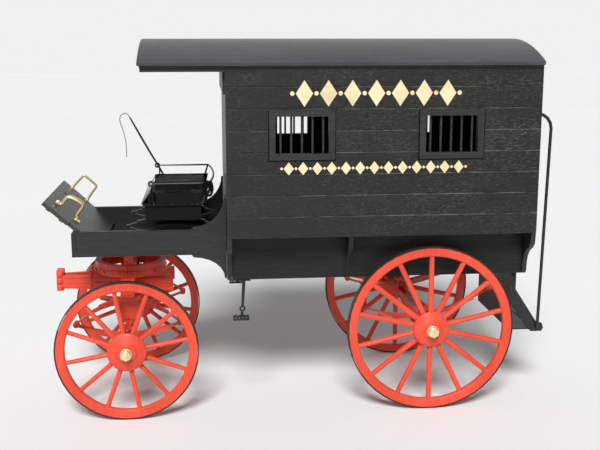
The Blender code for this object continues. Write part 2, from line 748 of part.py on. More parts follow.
def make_door():
    """Rear door with a barred hatch, hung on strap hinges at its right edge."""
    half = DOOR_WIDTH / 2 - DOOR_GAP
    bottom = BODY_BOTTOM_Z + DOOR_SILL + DOOR_GAP
    top = BODY_BOTTOM_Z + DOOR_SILL + DOOR_HEIGHT - DOOR_GAP
    face = BODY_REAR_X
    door = block(face - WALL, face, -half, half, bottom, top)
    hatch_z1 = top - HATCH_DROP
    hatch_z0 = hatch_z1 - HATCH_HEIGHT
    cut(door, block(face - 2 * WALL, face + WALL, -HATCH_HALF, HATCH_HALF, hatch_z0, hatch_z1))
    for i in range(HATCH_BARS):
        y = (i - (HATCH_BARS - 1) / 2) * HATCH_BAR_PITCH
        join(door, pin_z(face - WALL / 2, y, hatch_z0 - BAR_R, hatch_z1 + BAR_R, BAR_R, 8))
    hinge_x = face + HINGE_OUT
    hinge_y = DOOR_WIDTH / 2 + HINGE_ASIDE
    hinge_zs = (bottom + HINGE_LOW, top - HINGE_HIGH)
    for z in hinge_zs:
        strap = block(face - SUNK, face + STRAP_PROUD, STRAP_SETBACK - half, half,
                      z - STRAP_HALF, z + STRAP_HALF)
        tongue = block(hinge_x - STRAP_PROUD, hinge_x, half - STRAP_PROUD, hinge_y,
                       z - KNUCKLE_HALF, z + KNUCKLE_HALF)
        join(door, strap, tongue, pin_z(hinge_x, hinge_y, z - KNUCKLE_HALF, z + KNUCKLE_HALF, HINGE_R))
    bolt_z = (bottom + top) / 2
    bolt_y = STRAP_PROUD - half
    join(door, block(face - SUNK, face + BOLT_PROUD, bolt_y, bolt_y + BOLT_LENGTH,
                     bolt_z - BOLT_HALF, bolt_z + BOLT_HALF))
    part(door, "rear_door", BLACK)

    plate_y = hinge_y + HINGE_R + GAP
    plate = block(face + GAP, face + PLATE_PROUD, plate_y, plate_y + PLATE_WIDTH,
                  bottom + HINGE_LOW / 2, top - HINGE_HIGH / 2)
    for z in hinge_zs:
        for sign in (-1, 1):
            z0, z1 = sorted((z + sign * (KNUCKLE_HALF + GAP), z + sign * KNUCKLE_REACH))
            knuckle = block(hinge_x - STRAP_PROUD, hinge_x, hinge_y, plate_y + SUNK, z0, z1)
            join(plate, knuckle, pin_z(hinge_x, hinge_y, z0, z1, HINGE_R))
    part(plate, "door_hinge_plate", IRON)


def toe_underside(x):
    """Height of the toe board's underside over a place along the wagon."""
    edge_x = TOE_TOP_X - TOE_THICKNESS * math.sin(TOE_SLOPE)
    edge_z = TOE_TOP_Z - TOE_THICKNESS * math.cos(TOE_SLOPE)
    return edge_z - (x - edge_x) * math.tan(TOE_SLOPE)


def make_driver_box():
    """Sides, floor and front of the driver's box."""
    ogee_x = BODY_FRONT_X - OGEE_LENGTH
    shoulder_x = ogee_x + OGEE_SHOULDER
    tip_x = BODY_FRONT_X - GAP
    lip_x = tip_x - OGEE_LIP
    front_x = BOX_FRONT_X + BOX_WALL + GAP
    ogee_top = BOX_TOP_Z + OGEE_RISE
    foot = BODY_BOTTOM_Z + OGEE_LIP
    outline = [(front_x, BOX_TOP_Z), (ogee_x, BOX_TOP_Z)]
    outline += quarter((shoulder_x, BOX_TOP_Z + OGEE_STEP), (lip_x, ogee_top), 7)
    outline += [(tip_x, ogee_top), (tip_x, foot)]
    outline += quarter((shoulder_x, BOX_BOTTOM_Z - OGEE_STEP), (lip_x, foot), 6)[::-1]
    outline += [(ogee_x, BOX_BOTTOM_Z), (front_x, BOX_BOTTOM_Z)]
    for side, sign in SIDES:
        panel = board(outline, BOX_WALL, "XZ", sign * (LOWER_HALF - BOX_WALL / 2))
        part(panel, f"driver_side_{side}", BLACK)
    front_top = min(BOX_TOP_Z, toe_underside(BOX_FRONT_X + BOX_WALL) - 1.5 * GAP)
    front = block(BOX_FRONT_X, BOX_FRONT_X + BOX_WALL, -LOWER_HALF, LOWER_HALF, BOX_BOTTOM_Z, front_top)
    part(front, "front_board", BLACK)
    floor = block(front_x, tip_x, -BOX_INNER, BOX_INNER, BOX_BOTTOM_Z, BOX_FLOOR_Z)
    part(floor, "driver_floor", BLACK)


def make_toe_board():
    """Sloping toe board, and the brass brackets that stand on it."""
    cos, sin = math.cos(TOE_SLOPE), math.sin(TOE_SLOPE)
    slope = Matrix(((cos, 0, sin, TOE_TOP_X), (0, 1, 0, 0), (-sin, 0, cos, TOE_TOP_Z), (0, 0, 0, 1)))
    drop = TOE_TOP_Z - BOX_FLOOR_Z - GAP - TOE_THICKNESS * cos
    length = drop / sin
    outer = LOWER_HALF - TOE_INSET
    half = [(0, outer), (TOE_FULL_WIDTH, outer), (TOE_FULL_WIDTH, BOX_INNER), (length, BOX_INNER)]
    toe = board(half + [(u, -v) for u, v in reversed(half)], TOE_THICKNESS, "XY", -TOE_THICKNESS / 2)
    batten_half = BOX_INNER - BATTEN_INSET
    for share in BATTEN_STARTS:
        start = share * TOE_FULL_WIDTH
        join(toe, block(start, start + BATTEN, -batten_half, batten_half,
                        -TOE_THICKNESS - BATTEN_PROUD, SUNK - TOE_THICKNESS))
    cut(toe, block(SLOT_START, SLOT_START + SLOT_LENGTH, SLOT_Y, SLOT_Y + SLOT_WIDTH,
                   -3 * TOE_THICKNESS, TOE_THICKNESS))
    bpy.context.view_layer.update()
    toe = as_mesh(toe)
    toe.matrix_world = slope @ toe.matrix_world
    part(toe, "toe_board", BLACK)

    shape = ((0.0, 0.12), (0.05, 0.05), (0.13, 0.05), (0.22, 0.16), (0.28, 0.5), (0.31, 0.96),
             (0.36, 1.0), (0.72, 1.0), (0.77, 0.94), (0.80, 0.08), (0.86, 0.04), (1.0, 0.04))
    line = [Vector((u * PEDAL_LENGTH, v * PEDAL_HEIGHT)) for u, v in shape]
    pedal = board(strip(line, PEDAL_THICKNESS, GAP), PEDAL_WIDTH, "XZ", PEDAL_IN - LOWER_HALF)
    pedal.matrix_world = slope @ Matrix.Translation((PEDAL_START, 0, 0)) @ pedal.matrix_world
    part(pedal, "brake_pedal", BRASS)

    y = LOWER_HALF - LOOP_IN - TOE_INSET - LOOP_R
    path = [(0, GAP), (0, LOOP_HEIGHT), (LOOP_LENGTH, LOOP_HEIGHT), (LOOP_LENGTH, GAP)]
    loop = rod([(LOOP_START + u, y, v) for u, v in path], LOOP_R)
    loop.matrix_world = slope @ loop.matrix_world
    part(loop, "rein_loop", BRASS)


def strip(line, thickness, lowest):
    """Outline of a bent flat strip about a line of points."""
    upper, lower = [], []
    for i, point in enumerate(line):
        before = line[max(i - 1, 0)]
        after = line[min(i + 1, len(line) - 1)]
        along = (after - before).normalized()
        normal = Vector((-along.y, along.x)) * thickness / 2
        lift = max(0.0, lowest - min((point + normal).y, (point - normal).y))
        for side, run in ((1, upper), (-1, lower)):
            edge = point + side * normal
            run.append((edge.x, edge.y + lift))
    return upper + lower[::-1]


def leaf_outline(half_span, rise, leaves, thickness):
    """A stepped stack of leaves, bowed up by its rise at the middle."""
    step = 0.22
    steps = 12

    def bow(u):
        return rise * (1 - (u / half_span) ** 2)

    us = [half_span * (2 * i / steps - 1) for i in range(steps + 1)]
    outer = []
    for k in range(leaves):
        start = half_span * (1 - step * k)
        stop = half_span * (1 - step * (k + 1)) if k < leaves - 1 else 0.0
        for u in (start, (start + stop) / 2, stop):
            outer.append((u, bow(u) + (k + 1) * thickness))
    outer += [(-u, v) for u, v in reversed(outer[:-1])]
    return [(u, bow(u)) for u in us] + outer


def make_seat():
    """Riser, leaf springs, pan on its box, and cushion of the driver's seat."""
    back = BODY_FRONT_X - SEAT_BEHIND
    front = back - SEAT_DEPTH
    riser = block(front + RISER_SETBACK, back - RISER_SETBACK, -BOX_INNER, BOX_INNER,
                  BOX_FLOOR_Z + GAP, RISER_TOP_Z)
    part(riser, "seat_riser", BLACK)

    eye_z = RISER_TOP_Z + GAP + SEAT_SPRING_HEIGHT / 2
    middle = (front + back) / 2 - SEAT_SPRING_AHEAD
    half_span = SEAT_DEPTH / 2 + SEAT_SPRING_OUT
    eye_half = SEAT_LEAF_WIDTH / 2 + EYE_PROUD
    line = leaf_outline(half_span, SEAT_SPRING_HEIGHT / 2 - 2 * SEAT_LEAF_THICKNESS, 2, SEAT_LEAF_THICKNESS)
    for side, sign in SIDES:
        y = sign * (BOX_INNER - SEAT_SPRING_IN)
        spring = board([(middle + u, eye_z + v) for u, v in line], SEAT_LEAF_WIDTH, "XZ", y)
        for x in (middle - half_span, middle + half_span):
            join(spring, pin_y(x, eye_z, y - eye_half, y + eye_half, SEAT_EYE_R, 10))
        join(spring, board([(middle + u, eye_z - v) for u, v in line], SEAT_LEAF_WIDTH, "XZ", y))
        part(spring, f"seat_spring_{side}", IRON)

    pan_top = SEAT_PAN_Z + SEAT_PAN
    pan = block(front, back, -SEAT_HALF, SEAT_HALF, SEAT_PAN_Z, pan_top)
    box_y = SEAT_HALF - SEAT_BOX_INSET
    box = block(front + SEAT_BOX_INSET, back - SEAT_BOX_INSET, -box_y, box_y, SEAT_BOX_Z, SEAT_PAN_Z + SUNK)
    part(join(pan, box), "seat_pan", BLACK)

    cushion_half = SEAT_HALF - CUSHION_INSET
    low = pan_top + GAP
    high = low + CUSHION_HEIGHT
    outline = [
        (front + CUSHION_INSET, low),
        (back - CUSHION_INSET, low),
        (back - CUSHION_INSET + CUSHION_LEAN, high),
        (front + CUSHION_INSET + CUSHION_LEAN, high),
    ]
    cushion = board(outline, 2 * cushion_half, "XZ", 0)
    bevel = cushion.modifiers.new("Bevel", "BEVEL")
    bevel.width = CUSHION_EDGE
    bevel.segments = 3
    part(cushion, "seat_cushion", LEATHER)
    make_seat_rail(front + RAIL_SETBACK, back)


def make_seat_rail(front, seat_back):
    """Iron rail round the seat, with rings at its front ends, and the whip beside it."""
    rail_y = SEAT_HALF + RAIL_R + GAP
    back = seat_back + RAIL_LEAN
    low = SEAT_PAN_Z + RAIL_FOOT
    high = SEAT_PAN_Z + RAIL_RISE
    half = [(front, rail_y, low), (front, rail_y, high)]
    half += [(back + RAIL_BOW * (1 - share ** 2), rail_y * share, high) for share in (1, 0.75, 0.5, 0.25)]
    middle = [(back + RAIL_BOW, 0, high)]
    rail = rod(half + middle + [(x, -y, z) for x, y, z in reversed(half)], RAIL_R)
    for _, sign in SIDES:
        y = sign * rail_y
        join(rail, rod([(back - RAIL_R / 2, y, high), (seat_back - RAIL_R, y, low)], RAIL_R))
        join(rail, wire_ring(front - RAIL_LOOP_R, y, high, RAIL_LOOP_R, RAIL_R))
    part(rail, "seat_rail", IRON)

    y = rail_y + RAIL_R + WHIP_R + GAP
    shape = ((-0.085, -0.21), (0.0, -0.04), (0.16, 0.24), (0.5, 0.87), (0.545, 0.95), (0.585, 0.985),
             (0.64, 0.98), (0.69, 0.94), (0.71, 0.87), (0.69, 0.78), (0.64, 0.64), (0.61, 0.46),
             (0.60, 0.28), (0.605, 0.16))
    whip = [(front - a * WHIP_REACH, y, high + b * WHIP_REACH) for a, b in shape]
    part(rod(whip, WHIP_R), "whip", IRON)


def make_driver_steps():
    """The two iron mounting steps under the cell's front corners."""
    x = BODY_FRONT_X + DRIVER_STEP_BEHIND
    low_x = x - DRIVER_STEM_LEAN
    top = BODY_BOTTOM_Z - GAP
    bottom = top - DRIVER_STEP_DROP
    tread_z = bottom + DRIVER_TREAD_THICKNESS / 2
    half = DRIVER_STEM / 2
    foot_half = DRIVER_FOOT_LENGTH / 2
    for side, sign in SIDES:
        outer = sign * (LOWER_HALF - DRIVER_STEM_WIDTH / 2)
        inner = outer - sign * DRIVER_STEM_WIDTH
        outline = [(x - half, top), (x + half, top), (low_x + half, bottom), (low_x - half, bottom)]
        stem = board(outline, DRIVER_STEM_WIDTH, "XZ", (outer + inner) / 2)
        foot = block(x - foot_half, x + foot_half, outer - sign * DRIVER_FOOT_WIDTH, outer + sign * SUNK,
                     top - DRIVER_FOOT_THICKNESS, top)
        tread = block(low_x - DRIVER_TREAD_FRONT, low_x + DRIVER_TREAD_BACK,
                      inner, outer + sign * DRIVER_TREAD_OUT, tread_z - DRIVER_TREAD_THICKNESS, tread_z)
        join(stem, foot, tread)
        part(stem, f"driver_step_{side}", IRON)


def make_rear_step():
    """Rear step under the door: riser board, tread and two sloping stringers; the handrails at its sides."""
    wall_x = BODY_REAR_X
    front = wall_x - STEP_BACK
    neck = wall_x - STEP_NECK
    tip = wall_x + STEP_REACH
    nose = tip - STEP_NOSE_LENGTH
    top = BODY_BOTTOM_Z - GAP
    z = STEP_TREAD_Z
    slope_foot = tip - STEP_LIP_LENGTH
    slope_run = slope_foot - neck
    slope_fall = (top - STEP_SHOULDER) - (z + STEP_LIP)
    heel = slope_foot + slope_run * (STEP_LIP + STEP_BOARD) / slope_fall - STEP_SLOPE_WIDTH
    outline = [
        (front, top),
        (neck, top),
        (neck, top - STEP_SHOULDER),
        (slope_foot, z + STEP_LIP),
        (tip - STEP_NOSE, z + STEP_LIP),
        (tip, z),
        (tip - STEP_NOSE, z - STEP_NOSE_DROP),
        (nose, z - STEP_NOSE_DROP),
        (nose, z - STEP_BOARD),
        (heel, z - STEP_BOARD),
        (front, z - STEP_BOARD + (heel - front) * slope_fall / slope_run),
    ]
    middle = LOWER_HALF - STEP_INSET - STEP_WALL / 2
    step = board(outline, STEP_WALL, "XZ", -middle)
    riser = block(front + SUNK, front + SUNK + STEP_BOARD, -middle, middle, z - STEP_BOARD, top - SUNK)
    tread = block(front + SUNK, nose + STEP_NOSE, -middle, middle, z - STEP_BOARD, z)
    lip = block(nose + SUNK, tip - STEP_NOSE - SUNK, -middle, middle, z - STEP_NOSE_DROP + SUNK, z)
    join(step, board(outline, STEP_WALL, "XZ", middle), riser, tread, lip)
    part(step, "rear_step", BLACK)

    rail_top = BODY_BOTTOM_Z + HANDRAIL_RISE
    out = wall_x + HANDRAIL_OUT
    line = [(wall_x + GAP, rail_top)]
    line += quarter((out - HANDRAIL_BEND, rail_top), (out, rail_top - HANDRAIL_BEND), 4)
    line.append((out - HANDRAIL_LEAN, STEP_TREAD_Z))
    for side, sign in SIDES:
        y = sign * (LOWER_HALF - HANDRAIL_IN)
        part(rod([(u, y, v) for u, v in line], HANDRAIL_R), f"handrail_{side}", IRON)


def make_axle(x, z, name):
    """Square axle with round spindles that run in the hubs."""
    half = AXLE_SIZE / 2
    shoulder = WHEEL_FACE_Y - RIM_WIDTH - HUB_INNER_LENGTH - GAP
    bar = block(x - half, x + half, -shoulder, shoulder, z - half, z + half)
    tip = WHEEL_FACE_Y + 0.62 * HUB_NOSE - GAP
    join(bar, pin_y(x, z, -tip, tip, SPINDLE_R))
    part(bar, name, RED)


def make_rear_gear():
    """Rear axle and its half elliptic springs on hangers."""
    make_axle(REAR_AXLE_X, REAR_WHEEL_R, "rear_axle")
    top = REAR_WHEEL_R + AXLE_SIZE / 2 + GAP + REAR_LEAVES * LEAF_THICKNESS
    room = BODY_BOTTOM_Z - top
    a, b = REAR_SPRING_FRONT, REAR_SPRING_BACK
    rise_a, rise_b = REAR_EYE_FRONT_SHARE * room, REAR_EYE_BACK_SHARE * room
    curve = (rise_a / a + rise_b / b) / (a + b)
    slope = rise_b / b - curve * b
    step = 0.24

    def bow(u):
        return top + slope * u + curve * u * u

    steps = 14
    upper = [(u, bow(u)) for u in (-a + (a + b) * i / steps for i in range(steps + 1))]
    stairs = []
    for k in range(REAR_LEAVES):
        share = 1 - step * k
        stop = 1 - step * (k + 1) if k < REAR_LEAVES - 1 else 0.0
        stairs += [(share, k + 1), (stop, k + 1)]
    lower = [(share * b, k) for share, k in stairs] + [(-share * a, k) for share, k in reversed(stairs[:-1])]
    outline = [(REAR_AXLE_X + u, z) for u, z in upper + [(u, bow(u) - k * LEAF_THICKNESS) for u, k in lower]]
    hanger_top = BODY_BOTTOM_Z - GAP
    half = LEAF_WIDTH / 2
    for side, sign in SIDES:
        y = sign * REAR_SPRING_Y
        spring = board(outline, LEAF_WIDTH, "XZ", y)
        for u, rise in ((-a, rise_a), (b, rise_b)):
            x, z = REAR_AXLE_X + u, top + rise
            eye = pin_y(x, z, y - half - EYE_PROUD, y + half + EYE_PROUD, EYE_R)
            hanger = block(x - HANGER / 2, x + HANGER / 2, y - HANGER / 2, y + HANGER / 2, z, hanger_top)
            pad = block(x - PAD_LENGTH / 2, x + PAD_LENGTH / 2, y - half, y + half,
                        hanger_top - PAD_THICKNESS, hanger_top)
            join(spring, eye, hanger, pad)
        part(spring, f"rear_spring_{side}", RED)


def make_front_springs():
    """Full elliptic front springs, each with its clamp and bump stop."""
    x = FRONT_AXLE_X
    seat = FRONT_WHEEL_R + AXLE_SIZE / 2 + GAP
    stack = FRONT_LEAVES * LEAF_THICKNESS
    rises = BOLSTER_Z - GAP - seat - 2 * stack
    low_rise = FRONT_EYE_SHARE * rises
    high_rise = rises - low_rise
    eye_z = seat + stack + low_rise
    upper = leaf_outline(FRONT_SPRING_HALF, high_rise, FRONT_LEAVES, LEAF_THICKNESS)
    lower = leaf_outline(FRONT_SPRING_HALF, low_rise, FRONT_LEAVES, LEAF_THICKNESS)
    leaf_z = eye_z + high_rise
    clamp_top = BOLSTER_Z - GAP
    clamp_z = leaf_z - CLAMP_HANG
    half = CLAMP_LENGTH / 2
    clamp = [(half, clamp_top), (half, clamp_z + CLAMP_HANG / 2), (half - CLAMP_TAPER, clamp_z)]
    outline = [(x + u, z) for u, z in clamp + [(-u, z) for u, z in reversed(clamp)]]
    eye_half = LEAF_WIDTH / 2 + EYE_PROUD
    stop = STOP_SIZE / 2
    for side, sign in SIDES:
        y = sign * FRONT_SPRING_Y
        spring = board([(x + u, eye_z + v) for u, v in upper], LEAF_WIDTH, "XZ", y)
        for eye_x in (x - FRONT_SPRING_HALF, x + FRONT_SPRING_HALF):
            join(spring, pin_y(eye_x, eye_z, y - eye_half, y + eye_half, EYE_R))
        join(spring, board([(x + u, eye_z - v) for u, v in lower], LEAF_WIDTH, "XZ", y))
        join(spring, board(outline, CLAMP_WIDTH, "XZ", y))
        join(spring, block(x - stop, x + stop, y - stop, y + stop,
                           clamp_z - STOP_LENGTH, clamp_z + STOP_SIZE))
        part(spring, f"front_spring_{side}", RED)


def ring(z):
    """Flat ring of the turntable."""
    inner = TURNTABLE_R - TURNTABLE_RING
    top = z + TURNTABLE_HEIGHT
    solid = turned([(TURNTABLE_R, top), (TURNTABLE_R, z), (inner, z), (inner, top)], 40, closed=True)
    solid.data.transform(Matrix.Translation((FRONT_AXLE_X, 0, 0)))
    return solid


def ring_bar(z0, z1):
    """Bar across the inside of a turntable ring."""
    reach = TURNTABLE_R - TURNTABLE_RING / 4
    return block(FRONT_AXLE_X - CROSS_BAR / 2, FRONT_AXLE_X + CROSS_BAR / 2, -reach, reach, z0, z1)


def make_turntable():
    """Lower ring on its bolster, futchells with the pole's head, and the upper ring."""
    x = FRONT_AXLE_X
    y = FRONT_SPRING_Y + BOLSTER_OUT
    lower = block(x - BOLSTER_LENGTH / 2, x + BOLSTER_LENGTH / 2, -y, y, BOLSTER_Z, RING_Z + SUNK)
    join(lower, ring(RING_Z), ring_bar(RING_Z - SUNK, RING_Z + TURNTABLE_HEIGHT - SUNK))

    top = RING_Z - FUTCHELL_DROP
    beam_z = top - FUTCHELL_HEIGHT / 2
    head = POLE_HEAD_AHEAD - POLE_HEAD_LENGTH / 2
    head_x = x - POLE_HEAD_AHEAD
    beams = block(head_x, head_x + POLE_HEAD_LENGTH, -POLE_HEAD_HALF, POLE_HEAD_HALF,
                  top - FUTCHELL_HEIGHT - POLE_HEAD_FALL, top + POLE_HEAD_LIFT)
    for _, sign in SIDES:
        for grow, piece, use in ((0.0, beams, join), (GAP, lower, cut)):
            nose, tail = FUTCHELL_NOSE_Y - grow, FUTCHELL_TAIL_Y - grow
            wide = FUTCHELL_WIDTH + 2 * grow
            outline = [
                (x - head, sign * nose),
                (x - head, sign * (nose + wide)),
                (x + FUTCHELL_TAIL, sign * (tail + wide)),
                (x + FUTCHELL_TAIL, sign * tail),
            ]
            use(piece, board(outline, FUTCHELL_HEIGHT + 2 * grow, "XY", beam_z))
    part(beams, "futchells", RED)

    pin_hole = pin_z(x, 0, BOLSTER_Z - WALL, RING_Z + 2 * TURNTABLE_HEIGHT, KING_PIN_R + GAP, 16)
    part(cut(lower, pin_hole), "turntable_lower", RED)

    upper_z = RING_Z + TURNTABLE_HEIGHT + GAP
    upper = ring(upper_z)
    join(upper, ring_bar(upper_z + SUNK, BOX_BOTTOM_Z - GAP),
         pin_z(x, 0, BOLSTER_Z + KING_PIN_FOOT, upper_z + TURNTABLE_HEIGHT / 2, KING_PIN_R, 16))
    part(upper, "turntable_upper", RED)


def main():
    for obj in list(bpy.data.objects):
        bpy.data.objects.remove(obj)
    bpy.context.scene.collection.children.link(PARTS)
    bpy.context.scene.collection.children.link(CUTTERS)
    front_rs = (FRONT_SPOKE_ROOT_R, FRONT_SPOKE_TIP_R)
    rear_rs = (REAR_SPOKE_ROOT_R, REAR_SPOKE_TIP_R)
    make_wheels("front", FRONT_AXLE_X, FRONT_WHEEL_R, FRONT_SPOKES, FRONT_SPOKE_TURN, front_rs, FRONT_HUB_R)
    make_wheels("rear", REAR_AXLE_X, REAR_WHEEL_R, REAR_SPOKES, 0, rear_rs, REAR_HUB_R)
    make_cell()
    make_roof()
    for side, sign in SIDES:
        for place, x in window_places():
            make_window(f"window_{side}_{place}", x, sign)
    make_door()
    make_driver_box()
    make_toe_board()
    make_seat()
    make_driver_steps()
    make_rear_step()
    make_rear_gear()
    make_axle(FRONT_AXLE_X, FRONT_WHEEL_R, "front_axle")
    make_front_springs()
    make_turntable()
    for end, x, z in (("front", FRONT_AXLE_X, FRONT_WHEEL_R), ("rear", REAR_AXLE_X, REAR_WHEEL_R)):
        for side, sign in SIDES:
            place = (x, sign * (WHEEL_FACE_Y - RIM_WIDTH / 2), z)
            turning = [f"{kind}_{end}_{side}" for kind in ("wheel", "tyre", "nut")]
            pivot(f"{end}_{side}_spindle", place, turning)
    steered = ["front_axle", "front_spring_left", "front_spring_right", "futchells", "turntable_lower"]
    steered += ["front_left_spindle", "front_right_spindle"]
    pivot("king_pin", (FRONT_AXLE_X, 0, RING_Z), steered)
    hinge = (BODY_REAR_X + HINGE_OUT, DOOR_WIDTH / 2 + HINGE_ASIDE, BODY_BOTTOM_Z)
    pivot("door_hinge", hinge, ["rear_door"])


main()
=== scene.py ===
"""Jail wagon, scale model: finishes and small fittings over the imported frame.

All sizes are in metres.  The wagon's front points along -X, its left side faces -Y
and the ground is at zero.  Pieces are placed from the frame's own boxes.
"""

import math

import bmesh
import bpy
from mathutils import Matrix, Vector


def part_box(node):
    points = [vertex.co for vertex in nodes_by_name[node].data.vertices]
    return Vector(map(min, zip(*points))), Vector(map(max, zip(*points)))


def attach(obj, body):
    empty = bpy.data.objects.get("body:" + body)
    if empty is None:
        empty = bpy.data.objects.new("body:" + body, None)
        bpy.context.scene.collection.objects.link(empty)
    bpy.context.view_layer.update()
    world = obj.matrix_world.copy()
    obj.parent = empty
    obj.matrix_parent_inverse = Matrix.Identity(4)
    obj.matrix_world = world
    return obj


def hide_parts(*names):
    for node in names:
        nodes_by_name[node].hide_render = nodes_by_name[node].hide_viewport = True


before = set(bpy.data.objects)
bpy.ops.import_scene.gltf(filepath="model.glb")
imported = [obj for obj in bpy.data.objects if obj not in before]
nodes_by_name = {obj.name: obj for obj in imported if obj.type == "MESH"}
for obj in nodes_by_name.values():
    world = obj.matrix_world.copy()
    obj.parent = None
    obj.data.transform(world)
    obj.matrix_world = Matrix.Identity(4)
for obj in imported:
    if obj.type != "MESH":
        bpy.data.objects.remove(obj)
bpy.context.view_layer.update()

MM = 0.001
SIDES = (("left", -1), ("right", 1))
ENDS = ("front", "rear")
WHEEL_NAMES = ("front_left", "front_right", "rear_left", "rear_right")
AHEAD, BACK, LEFT, UP, DOWN = (-1, 0, 0), (1, 0, 0), (0, -1, 0), (0, 0, 1), (0, 0, -1)
FLIP = Matrix.Scale(-1, 4, (0, 1, 0))

# The lamp's strength, and its spread, height and sideways drift in degrees
LAMP_STRENGTH = 3.7
LAMP_SPREAD = 20.0
LAMP_RISE = 44.0
LAMP_DRIFT = 10.0
# Brightness of the room on the lamp's side, behind the wagon and overhead, and of the backdrop
ROOM_AHEAD = 0.16
ROOM_BEHIND = 0.8
ROOM_ABOVE = 0.6
BACKDROP = 0.87

# How far paint and metal rub off at an edge, how deep the grain is, and bare wood's colours
PAINT_WEAR = 0.35 * MM
METAL_WEAR = 0.25 * MM
GRAIN_DEPTH = 0.12 * MM
BARE_WOOD = (0.17, 0.165, 0.15)
BARE_GREY = (0.17, 0.17, 0.165)
EVEN = (1, 1, 1)

# A wire's outline in its skin, as a share of its round radius
SKIN_SHARE = 1.2
# The cushion's lean, the most that a point of it swells, and its ribs
CUSHION_LEAN = 5.0 * MM
CUSHION_SWELL = 1.2 * MM
CUSHION_RIBS = 6
PLANKS = 8
PLANK_PITCH = 14.0 * MM
NAIL_IN = 2.2 * MM
LOWEST_NAILS = 24
# The toe board's slope
COS_TOE = math.cos(math.radians(42.6))
SIN_TOE = math.sin(math.radians(42.6))
# The whip's height and its nudge ahead and down, then its line as shares of that height:
# how far ahead, how far up, and for the stock the radius in millimetres
WHIP_REACH = 40.0 * MM
WHIP_NUDGE = 0.7 * MM
WHIP_STOCK = ((-0.085, -0.21, 0.75), (0.0, -0.04, 0.72), (0.16, 0.24, 0.68), (0.34, 0.57, 0.62),
              (0.5, 0.87, 0.55), (0.53, 0.925, 0.45))
WHIP_END = ((0.52, 0.905), (0.545, 0.95), (0.585, 0.985), (0.64, 0.98), (0.69, 0.94), (0.71, 0.87),
            (0.69, 0.78), (0.64, 0.64), (0.61, 0.46), (0.60, 0.28), (0.605, 0.16))
# The pedal's bar as (down the board, off the board, radius), and the loop's wire, in millimetres
PEDAL_BAR = ((7.3, 1.5, 1.3), (8.8, 1.4, 1.1), (9.9, 2.9, 1.05), (9.6, 5.8, 1.1), (9.4, 8.6, 1.3),
             (11.4, 10.0, 1.45), (15.6, 11.2, 1.5), (19.8, 11.9, 1.45), (21.4, 10.6, 1.2),
             (21.7, 6.6, 1.0), (21.9, 3.2, 1.05), (24.6, 1.3, 1.1))
PEDAL_BREADTH = 1.45
LOOP_WIRE = ((8.1, 0.3), (8.2, 6.0), (8.3, 12.4), (8.6, 13.4), (9.6, 13.6), (15.0, 13.6),
             (19.6, 13.6), (20.6, 13.3), (20.9, 12.4), (21.5, 6.0), (22.2, 0.3))
# Heights of the driver's step where its upper stem ends, its eye sits and its lower stem starts
STEM_FOOT = 72.2 * MM
STEP_EYE = 70.6 * MM
LOWER_STEM_TOP = 69.4 * MM
# The bow of a door staple, as (off the wall, up) in millimetres
STAPLE_BOW = ((-0.2, -2.6), (0.9, -2.6), (1.7, -2.1), (1.9, -1.2),
              (1.9, 1.2), (1.7, 2.1), (0.9, 2.6), (-0.2, 2.6))
# The lashing's foot on the seat rail's leg, and how far it climbs, in millimetres
LASH_FOOT = 145.2
LASH_CLIMB = 6.5
# Middles of the spring eyes, as (x, z)
SPRING_EYES = {"front": ((-154.336 * MM, 61.0 * MM), (-84.336 * MM, 61.0 * MM)),
               "rear": ((42.964 * MM, 67.97 * MM), (130.964 * MM, 80.6 * MM))}
# Heights in millimetres of the bosses, beads and clip nuts of the pole's end, and of the ring's nuts
BOSS_HEIGHTS = (77.8, 82.6, 87.4)
BEAD_HEIGHTS = (78.4, 81.7, 85.0)
CLIP_NUT_HEIGHTS = (79.0, 85.5)
RING_NUT_HEIGHT = 91.0
# For each axle its end, its body, its two U-bolts' distances from the middle and the leaves' rise
U_BOLTS = (("front", "front_gear", 36.0, 44.0, 9.5), ("rear", "wagon", 37.7, 44.3, 8.0))


# Camera, floor and light


def make_camera():
    """The photograph's eye: a little ahead of the side, and above."""
    camera = bpy.data.objects.new("Camera", bpy.data.cameras.new("Camera"))
    bpy.context.scene.collection.objects.link(camera)
    camera.data.sensor_width = 36.0
    camera.data.lens = 57.55
    camera.data.clip_start = 0.01
    camera.data.clip_end = 100.0
    camera.location = (-0.06506, -0.67686, 0.25365)
    camera.rotation_euler = (math.radians(78.78), 0.0, math.radians(-5.66))
    bpy.context.scene.camera = camera


